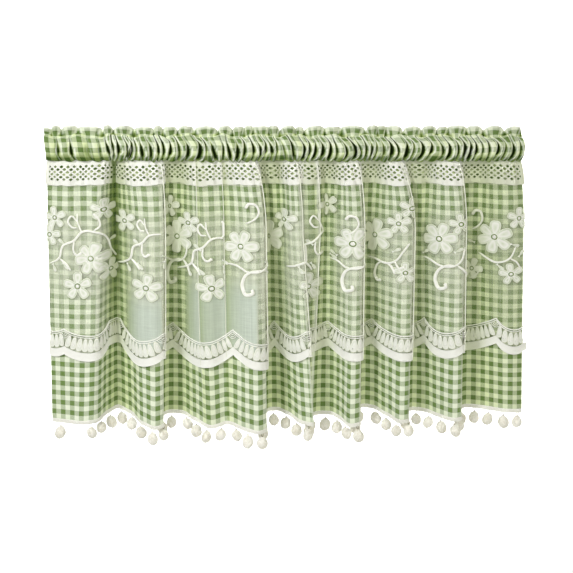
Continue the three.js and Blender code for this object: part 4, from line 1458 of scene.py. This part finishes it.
for across, below, shown in SPRAY_STARTS:
    motif_parts += vine_on_lace(SPRAY, across, below, rng.uniform(0.92, 1.04), shown)
    motif_parts += [lay_on_lace(leaf, across + x, below - up, turn, LEAF_SIZE)
                    for x, up, turn in SPRAY_LEAVES if x < shown]
for strokes, across, below in OTHER_VINES:
    motif_parts += vine_on_lace(strokes, across, below)
motif_parts += [lay_on_lace(leaf, *place, LEAF_SIZE) for place in LOOSE_LEAVES]
motifs = join("lace_flowers", motif_parts)
for pattern in (*FLOWERS.values(), leaf):
    bpy.data.objects.remove(pattern)
smooth(motifs)
shade_valleys(motifs, 0.55)
dress(motifs, lace_solid, "lace")


# ---- The gimp braid and its pompoms --------------------------------------------

def hem_spot(flat, below_hem, lift=0.0):
    """Points a way below the skirt's hem."""
    spots = skirt_spot(flat, np.ones(len(flat)), lift)
    spots[:, 2] -= below_hem
    return spots


def tape_place(across, up):
    """The braid's ground tape, with a fine ribbed edge."""
    flat = across * FLAT_WIDTH
    below = BRAID_TOP + BRAID_HEIGHT * (1 - up)
    edge = 0.25 * np.sin(flat * 2 * math.pi / 3.2) * (np.abs(up - 0.5) > 0.45)
    return hem_spot(flat, below + edge), np.column_stack([flat, up * BRAID_HEIGHT])


def gimp_cord(phase, middle, height, lift):
    """A cord that loops up and down along the tape."""
    flat = np.linspace(0.6, FLAT_WIDTH - 0.6, 1180)
    loops = (flat / CORD_PITCH + phase) * 2 * math.pi
    spots = hem_spot(flat, middle + height * np.sin(loops), lift + 0.25 * np.cos(loops * 2))
    return tube("gimp_cord", spots, 0.75, 5)


tape = laid_grid("gimp_tape", 640, 4, tape_place)
thicken(tape, TAPE)
braid = join("gimp_braid", [tape, gimp_cord(0, 2.4, 1.9, 0.9), gimp_cord(0.5, 4.2, 1.9, 0.9),
                            gimp_cord(0.25, 3.4, 2.2, -1)])
smooth(braid, 60)
dress(braid, gimp, "braid", "pompom_fringe")


def pompom_pattern():
    """A pompom hanging from the origin: an egg of cut pile, its tufts poked out."""
    deselect()
    bpy.ops.mesh.primitive_ico_sphere_add(subdivisions=4, radius=1)
    ball = bpy.context.object
    x, y, z = spots_of(ball).T
    lumps = 1 + 0.03 * np.sin(x * 7 + 1) * np.cos(z * 6) + 0.025 * np.sin(y * 9 + z * 4)
    narrow = POMPOM_RADIUS * (1 - 0.1 * z) * lumps
    middle = np.array((0, 0, -THREAD_LENGTH - POMPOM_LENGTH / 2))
    put(ball, np.column_stack([x * narrow, y * narrow, z * POMPOM_LENGTH / 2 * lumps]) + middle)

    chosen = rng.random(len(ball.data.polygons)) < TUFTED
    first_tip = len(ball.data.vertices)
    only(ball)
    bpy.ops.object.mode_set(mode="EDIT")
    bpy.ops.mesh.select_mode(type="FACE")
    bpy.ops.mesh.select_all(action="DESELECT")
    bpy.ops.object.mode_set(mode="OBJECT")
    ball.data.polygons.foreach_set("select", chosen)
    bpy.ops.object.mode_set(mode="EDIT")
    bpy.ops.mesh.poke(offset=0.5)
    bpy.ops.object.mode_set(mode="OBJECT")
    spots = spots_of(ball)
    tips = spots[first_tip:] - middle
    length = np.linalg.norm(tips, axis=1)[:, None]
    tips *= (length + rng.uniform(-0.35, 0.35, (len(tips), 1))) / length
    spots[first_tip:] = tips + rng.normal(0, 0.15, tips.shape) + middle
    put(ball, spots)
    return ball


def pompom_threads(root, knot):
    """The two threads that a pompom hangs by, a little apart where they leave the braid."""
    threads = []
    for side in (-1.5, 1.5):
        apart = np.array((side, 0, 0))
        path = smooth_path([root + apart, mix(root + apart, knot, 0.5) + apart * 0.25, knot], 6)
        thread = tube("pompom_thread", path, THREAD, 5)
        mark(thread, "twisted", np.ones(len(thread.data.vertices)))
        threads.append(thread)
    return threads


ball = pompom_pattern()
fringe_parts = []
for number in range(int((FLAT_WIDTH - FIRST_POMPOM) / POMPOM_PITCH) + 1):
    flat = FIRST_POMPOM + POMPOM_PITCH * number
    root = hem_spot(np.array([flat]), BRAID_TOP + BRAID_HEIGHT - 0.6)[0]
    sway = rng.uniform(-0.16, 0.16, 2)
    spin = rng.uniform(0, 2 * math.pi)
    size = rng.uniform(0.93, 1.04)
    if number == LOST_POMPOM:
        stub = [root + (0.15 * step, 0, -step) for step in (0, 1.4, 2.8, 4.2)]
        fringe_parts.append(tube("thread_stub", stub, THREAD, 5))
        continue

    def hang(spots):
        x, y, z = turned(spots, spin).T * size
        hung = np.column_stack([x - z * sway[0], y - z * sway[1], z]) + root
        return hung, np.column_stack([x + y, z])
    fringe_parts.append(copied(ball, hang))
    knot = root + np.array((*sway, -1)) * (THREAD_LENGTH + 0.6) * size
    fringe_parts += pompom_threads(root, knot)
bpy.data.objects.remove(ball)
fringe = join("pompoms", fringe_parts)
smooth(fringe, 35)
dress(fringe, wool, "braid", "pompom_fringe")


# ---- Each cloth's flat width in metres, worked out and not used ----------------

FLAT_WIDTH * MM
FLAT_WIDTH * MM
(FLAT_WIDTH + LACE_OVERHANG) * MM
(BAND_RULER[-1] + BAND_OVERHANG) * MM
deselect()
